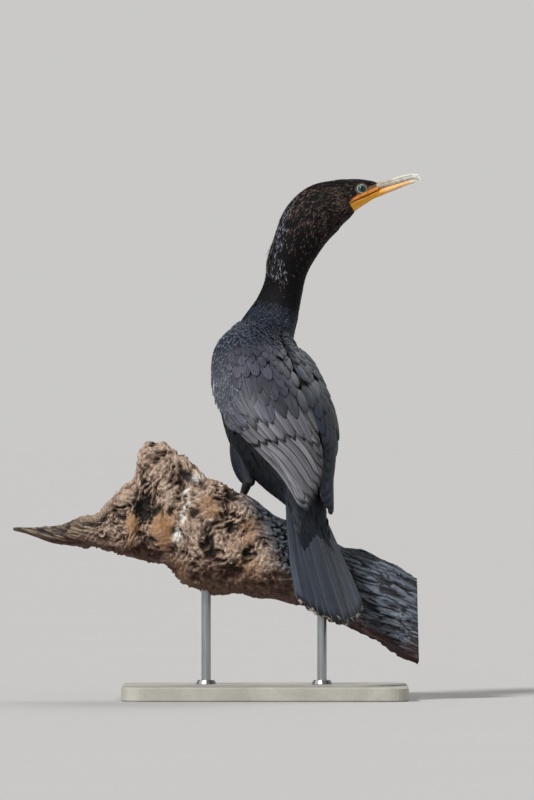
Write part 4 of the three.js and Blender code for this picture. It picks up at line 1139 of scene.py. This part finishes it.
def make_tail():
    """The fan of the tail, highest in the middle, and the coverts round its root."""
    coat = Coat()
    n, rows = TAIL["feathers"], 26
    place = np.linspace(-1, 1, n)
    order = np.abs(place)
    length = TAIL["length"] * (1 - (1 - TAIL["outer_share"]) * order**1.6) * (1 - 0.016 * DRAW.random(n))
    layer = -TAIL["step"] * (order * 5.5 - 0.5) - np.where(place < 0, TAIL["step"] / 2, 0)
    start = np.array([tail_place(0, p * TAIL["spread"], h) for p, h in zip(place, layer)])
    angle = np.radians(place * TAIL["fan"])[:, None]
    way = TAIL_WAY * np.cos(angle) + TAIL_ACROSS * np.sin(angle)
    across = TAIL_ACROSS * np.cos(angle) - TAIL_WAY * np.sin(angle)
    s = np.linspace(0, 1, rows)
    at = start[:, None] + way[:, None] * (length[:, None] * s)[..., None]
    at = at - TAIL_OUT * ((2.5 * order)[:, None] * s + 1.2 * np.sin(np.pi * s)[None])[..., None]
    half = 0.5 * TAIL["width"] * np.interp(s, *TAIL_VANE)[None] * np.ones((n, 1))
    shape = (n, rows, 3)
    centre = tinted("323843", n, 0.2)
    edge = tinted("06080b", n, 0.12)
    spot = np.stack([0.5 + 0.45 * place, np.full(n, 0.1)], -1)
    across, out = np.broadcast_to(across[:, None], shape), np.broadcast_to(TAIL_OUT, shape)
    # the feathers of each half lean the other way
    tilt = -1.3 * np.clip(place * 6, -1, 1)[:, None, None]
    coat.add(at, across, out, half, spot, centre, edge, 9, camber=0.09, thick=0.3, ragged=0.015, tilt=tilt)
    made = coat.piece("tail_feathers", TAIL_FINISH)
    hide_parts("tail")
    # coverts above and below the tail's root
    coat, cover = Coat(), Cover(RUMP)
    length, width = graph([0, 4], [22, 14]), graph([0, 4], [8.5, 6.5])
    for low, high, codes in ((-85, 85, ("171b23", "30353f")), (95, 265, ("12161d", "222933"))):
        root, tip, size = rows_down(RUMP, 3.9, 0.3, lambda t: (low, high), length, width)
        centre, edge = tinted(codes[0], len(root)), tinted(codes[1], len(root))
        coat.lay(cover, root, tip, size, POINTED_VANE, centre, edge,
                 sunk=0.8, lift=0.7, rows=7, columns=5, camber=0.12)
    rump = coat.piece("rump_feathers", COAT_FINISH)


# The snag

def snag_point(t, angle):
    x, top, under, near, far, crest = np.moveaxis(between(np.array(SNAG, float), t), -1, 0)
    bulge = lambda value: np.sign(value) * np.abs(value) ** 0.86
    slim = np.clip((top - under) / 60, 0, 1)
    swell = np.sin(0.09 * x + 3 * angle) + 0.8 * np.sin(0.17 * x - 2 * angle)
    lump = LUMP * slim * (swell + 0.6 * np.sin(5 * angle + 0.05 * x))
    middle = (near + far) / 2
    rise = np.maximum(0, np.sin(angle)) ** 2
    y = middle - bulge(np.cos(angle)) * ((far - near) / 2 + lump / 2) + (crest - middle) * rise
    z = (top + under) / 2 + bulge(np.sin(angle)) * ((top - under) / 2 + lump / 3)
    walls = np.maximum(0, HOLLOW["left_x"] - x) + np.maximum(0, crest + HOLLOW["behind_crest"] - y)
    floor = HOLLOW["height"] - HOLLOW["fall_x"] * (x - FEET[1][0]) - HOLLOW["fall_y"] * (y - FEET[1][1])
    return np.stack([x, y, np.minimum(z, np.maximum(floor + HOLLOW["wall"] * walls, under + 10))], -1)


def snag_reliefs(p):
    """For one point: curled folds of the burl, its knots, and the long cracks of straight-grained wood."""
    v = Vector(p)
    warp = noise.noise_vector(v * 0.028) * 14
    q = v + warp + noise.noise_vector(v * 0.09) * 4
    ridges = []
    for size, shift in ((0.045, 0), (0.1, 7), (0.22, 3)):
        ridges.append(max(0, 1 - abs(noise.noise(q * size + Vector((0, shift, 0)))) * 2.7))
    field = noise.noise(q * 0.036) * 2.6
    curls = 1 - abs(2 * (field * 1.7 - math.floor(field * 1.7)) - 1)
    fold = 0.34 * ridges[0] ** 1.5 + 0.4 * ridges[1] ** 1.5 + 0.27 * ridges[2] ** 1.4 + 0.3 * curls
    knots = noise.fractal(v * 0.045, 1.0, 2.1, 4)
    grain = Vector((v.x * 0.014 + 0.03 * v.z * 0.2, (v.y + 0.25 * v.x) * 0.16, (v.z + 0.33 * v.x) * 0.16))
    crack = 1 - min(1, abs(noise.noise(grain) + 0.5 * noise.noise(grain * 2.3)) * 3.2)
    fibre = noise.fractal(grain * 2.2, 1.0, 2.0, 3)
    spots = noise.noise(v * 0.028 + Vector((3, 8, 1)))
    return fold, knots, crack, fibre, spots


def make_snag():
    """The snag: burl on the left, cracked straight-grained wood on the right. Gives the ground for the feet."""
    rings, around = SNAG_GRID
    t, angle = np.meshgrid(np.linspace(0, len(SNAG) - 1, rings), np.arange(around) * 2 * np.pi / around, indexing="ij")
    p = snag_point(t, angle)
    out = unit(np.cross(np.roll(p, -1, 1) - np.roll(p, 1, 1), np.gradient(p, axis=0)))
    out = out * np.sign(np.sum(out * (p - p.mean(1, keepdims=True)), -1, keepdims=True).mean())
    relief = np.array([snag_reliefs(q) for q in p.reshape(-1, 3).tolist()]).reshape(rings, around, 5)
    fold, knots, crack, fibre, spots = np.moveaxis(relief, -1, 0)
    x = p[..., 0]
    burl = ease(x, BURL[0] - 10, BURL[0] + 45) * (1 - ease(x + 0.5 * (p[..., 2] - 130), BURL[1] - 18, BURL[1] + 14))
    high, front = p[..., 2], 1 - ease(p[..., 1], 0, 30)
    ochre = np.maximum(patch(x, high, -108, 13, 180, 34), patch(x, high, -140, 10, 184, 20)) * front
    behind = 0.8 * ease(spots, 0.15, 0.4) * (1 - front) * (1 - ease(x, -120, -80))
    ochre = np.clip(ease(ochre + 0.7 * spots + 0.4 * knots, 0.15, 0.6) + behind, 0, 1) * burl
    slim = np.clip((x + 262) / 60, 0, 1)
    # smoother where the feet stand
    footing = 1 - 0.85 * (1 - ease(np.hypot(x, p[..., 1] - 70), 55, 90)) * (out[..., 2] > 0.3)
    smooth = 1 - 0.75 * ochre
    depth = burl * smooth * (7.4 * (fold - 0.62) + 5.5 * knots - 0.3) + (1 - burl) * (1.6 * fibre - 3.4 * crack)
    depth = np.minimum(depth * footing, 2.2) - 0.4
    p = p + out * (depth * slim)[..., None]
    p[..., 1] = np.minimum(p[..., 1], CAD_BOX[1][1] / MM)
    made = mesh_piece("snag", p.reshape(-1, 3), grid_faces(rings, around), WOOD_FINISH)
    # low in crevices and cracks, high on ridge tops; the finish paints shade and highlight from it
    relief_shade_and_highlight = burl * np.clip(1.15 * fold - 0.05 + 0.8 * knots + 0.3 * ochre, 0, 1) + (1 - burl) * np.clip(1 - crack, 0, 1)
    put_value(made.data, "fold", relief_shade_and_highlight.ravel())
    put_value(made.data, "burl", burl.ravel())
    # how far each face looks downwards, for the painted shade on the underside
    put_value(made.data, "under", (1 - ease(out[..., 2], -0.75, -0.2)).ravel())
    put_value(made.data, "ochre", ochre.ravel())
    put_value(made.data, "dry", (1 - ease(x, -150, -60)).ravel())
    height = p[..., 2]
    drip = -79 - 0.24 * (223 - height) + 2.2 * np.sin(height * 0.31) + 1.2 * np.sin(height * 0.83)
    streak = bell(x, drip, 2.0) * ease(height, 170, 174) * (1 - ease(height, 221, 226))
    streak = streak * (0.35 + 0.65 * (np.sin(height * 0.47) > -0.3))
    streak = np.maximum(streak, patch(x, height, -72, 5, 233, 3.5))
    streak = np.maximum(streak, patch(x, height, -92, 4, 171, 5))
    put_value(made.data, "spill", (streak * (p[..., 1] < 30)).ravel())
    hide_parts("perch")
    return BVHTree.FromPolygons([Vector(q) for q in p.reshape(-1, 3).tolist()], grid_faces(rings, around, caps=False))


# Legs and feet

def make_legs(ground):
    """Shanks, toes with claws, and the webs between them, set down on the snag."""
    def height(x, y):
        hit = ground.ray_cast(Vector((x, y, 600)), Vector((0, 0, -1)))[0]
        return hit.z if hit else HOLLOW["height"] - 60

    heading = np.array([-math.sin(BODY_YAW), math.cos(BODY_YAW), 0])
    for side, word in ((1, "left"), (-1, "right")):
        x, y = FEET[side]
        foot = np.array([x, y, height(x, y) + 5])
        ankle = body_place(ANKLE[0], side * ANKLE[1], -ANKLE[2])
        shares = [(-0.12, 4.6, 5.2), (0.0, 5, 5.8), (0.18, 4.4, 5.4), (0.5, 3.2, 4.4), (0.82, 3.4, 4.4), (1, 3.8, 4.2)]
        shank = Tube([(mix(ankle, foot, s), a, b, b, BODY_TURN - 10) for s, a, b in shares])
        p, t, angle = tube_grid(shank, 0, 5, 110, 28)
        scutes = 0.22 * np.maximum(0, np.sin(t * 26)) * (np.cos(angle) < 0.2)
        p = shank.point(t, angle, scutes - 0.1)
        leg = mesh_piece("shank_" + word, p.reshape(-1, 3), grid_faces(110, 28), LEG_FINISH)
        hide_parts("leg_" + word)
        points, faces, count, paths = [], [], 0, []
        for length, outward, radius in TOES:
            turn = math.radians(side * outward)
            way = turned(heading, turn)
            line = [foot.copy()]
            for i in range(1, TOE_STEPS + 1):
                at = foot + way * length * i / TOE_STEPS
                thick = radius * (1 - 0.35 * i / TOE_STEPS)
                high = max(height(at[0] + dx, at[1] + dy) for dx, dy in ((0, 0), (2, 0), (-2, 0), (0, 2), (0, -2)))
                at[2] = max(high + thick * 0.9, line[-1][2] - 0.8 * length / TOE_STEPS)
                line.append(at)
            line = np.array(line)
            line[1:-1, 2] = (line[:-2, 2] + line[1:-1, 2] + line[2:, 2]) / 3 + 0.2
            paths.append(line)
            ahead = unit(line[-1] - line[-2])
            hook = [line[-1] + ahead * CLAW * share + np.array([0, 0, rise]) for share, rise, _ in CLAW_HOOK]
            thick = [radius * (1 - 0.35 * i / TOE_STEPS) for i in range(TOE_STEPS + 1)]
            thick += [radius * slim for _, _, slim in CLAW_HOOK]
            left = math.degrees(math.atan2(way[1], way[0])) + 90
            toe = Tube([(at, r, r, r, left) for at, r in zip([*line, *hook], thick)])
            p, t, angle = tube_grid(toe, 0, toe.last, 120, 20)
            joints = 0.14 * np.sin(t * 9) ** 2 * (np.cos(angle) > 0.1) * (t < TOE_STEPS)
            p = toe.point(t, angle, joints)
            points.append(p.reshape(-1, 3))
            faces += grid_faces(120, 20, count)
            count += 120 * 20
        for a, b in zip(paths, paths[1:]):
            n, m = 28, 14
            i, k = np.meshgrid(np.linspace(0.6, TOE_STEPS, n), np.linspace(0, 1, m), indexing="ij")
            slide = i * (1 - 0.22 * np.sin(np.pi * k) * (i / TOE_STEPS) ** 2)
            one, two = between(a, slide), between(b, slide)
            top = mix(one, two, k[..., None])
            floor = np.array([[height(q[0], q[1]) for q in row] for row in top])
            top[..., 2] = np.maximum(top[..., 2] - 0.3, floor + 1.0) + 0.25 * np.sin(k * np.pi * 5) * (i / TOE_STEPS)
            loop = np.concatenate([top, (top - np.array([0, 0, 0.9]))[:, ::-1]], 1)
            points.append(loop.reshape(-1, 3))
            faces += grid_faces(n, 2 * m, count)
            count += n * 2 * m
        made = mesh_piece("webbed_foot_" + word, np.concatenate(points), faces, LEG_FINISH)
        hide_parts("foot_" + word)


# Setting

CAMERA = {"place": (0.0021, -12.0, 0.3143), "lens": 514.3, "far": 200}
FLOOR_REACH = 60
# name, place, softness in degrees and power
LAMPS = [
    ("key light", (-2.3, -2.6, 2.7), 12, 3.5),
    ("fill light", (2.6, -2.4, 1.2), 40, 0.22),
    ("back light", (1.2, 2.4, 2.4), 25, 0.9),
]


def make_setting():
    """The camera at the photo's viewing angle, a plain pale floor and plain soft light."""
    camera = bpy.data.objects.new("camera", bpy.data.cameras.new("camera"))
    bpy.context.scene.collection.objects.link(camera)
    bpy.context.scene.camera = camera
    camera.data.lens = CAMERA["lens"]
    camera.location = CAMERA["place"]
    camera.rotation_euler = (math.radians(90), 0, 0)
    camera.data.clip_end = CAMERA["far"]
    floor = bpy.data.meshes.new("floor")
    corners = [(x * FLOOR_REACH, y * FLOOR_REACH, 0) for x, y in ((-1, -1), (1, -1), (1, 1), (-1, 1))]
    floor.from_pydata(corners, [], [(0, 1, 2, 3)])
    ground = bpy.data.objects.new("floor", floor)
    bpy.context.scene.collection.objects.link(ground)
    floor.materials.append(floor_finish())
    for name, place, softness, power in LAMPS:
        lamp = bpy.data.objects.new(name, bpy.data.lights.new(name, "SUN"))
        bpy.context.scene.collection.objects.link(lamp)
        lamp.data.angle = math.radians(softness)
        lamp.data.energy = power
        lamp.location = place
        lamp.rotation_euler = (-Vector(place)).to_track_quat("-Z", "Y").to_euler()
    world = bpy.data.worlds.new("soft room")
    bpy.context.scene.world = world
    world.use_nodes = True
    background, s = world.node_tree.nodes["Background"], Sheet(world.node_tree)
    background.inputs[0].default_value = rgba("e4e3e1")
    way = s.node("ShaderNodeSeparateXYZ")
    s.feed(way.inputs[0], s.node("ShaderNodeTexCoord").outputs["Generated"])
    # brightest low down, dimmer overhead
    s.feed(background.inputs[1], s.spread(way.outputs[2], 0.04, 0.4, 0.76, 0.36))
    bpy.context.scene.view_settings.view_transform = "Standard"


def dress_node(node, finish):
    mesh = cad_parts[node].data
    mesh.materials.clear()
    mesh.materials.append(finish)


make_setting()
make_skin()
make_eyes()
make_bill()
make_body_coat()
make_neck_coat()
make_head_coat()
make_thigh_coat()
make_wing(1, "left")
make_wing(-1, "right")
make_tail()
make_legs(make_snag())
dress_node("stand_base", board_finish())
for rod in ("stand_rod_left", "stand_rod_right"):
    dress_node(rod, steel_finish())
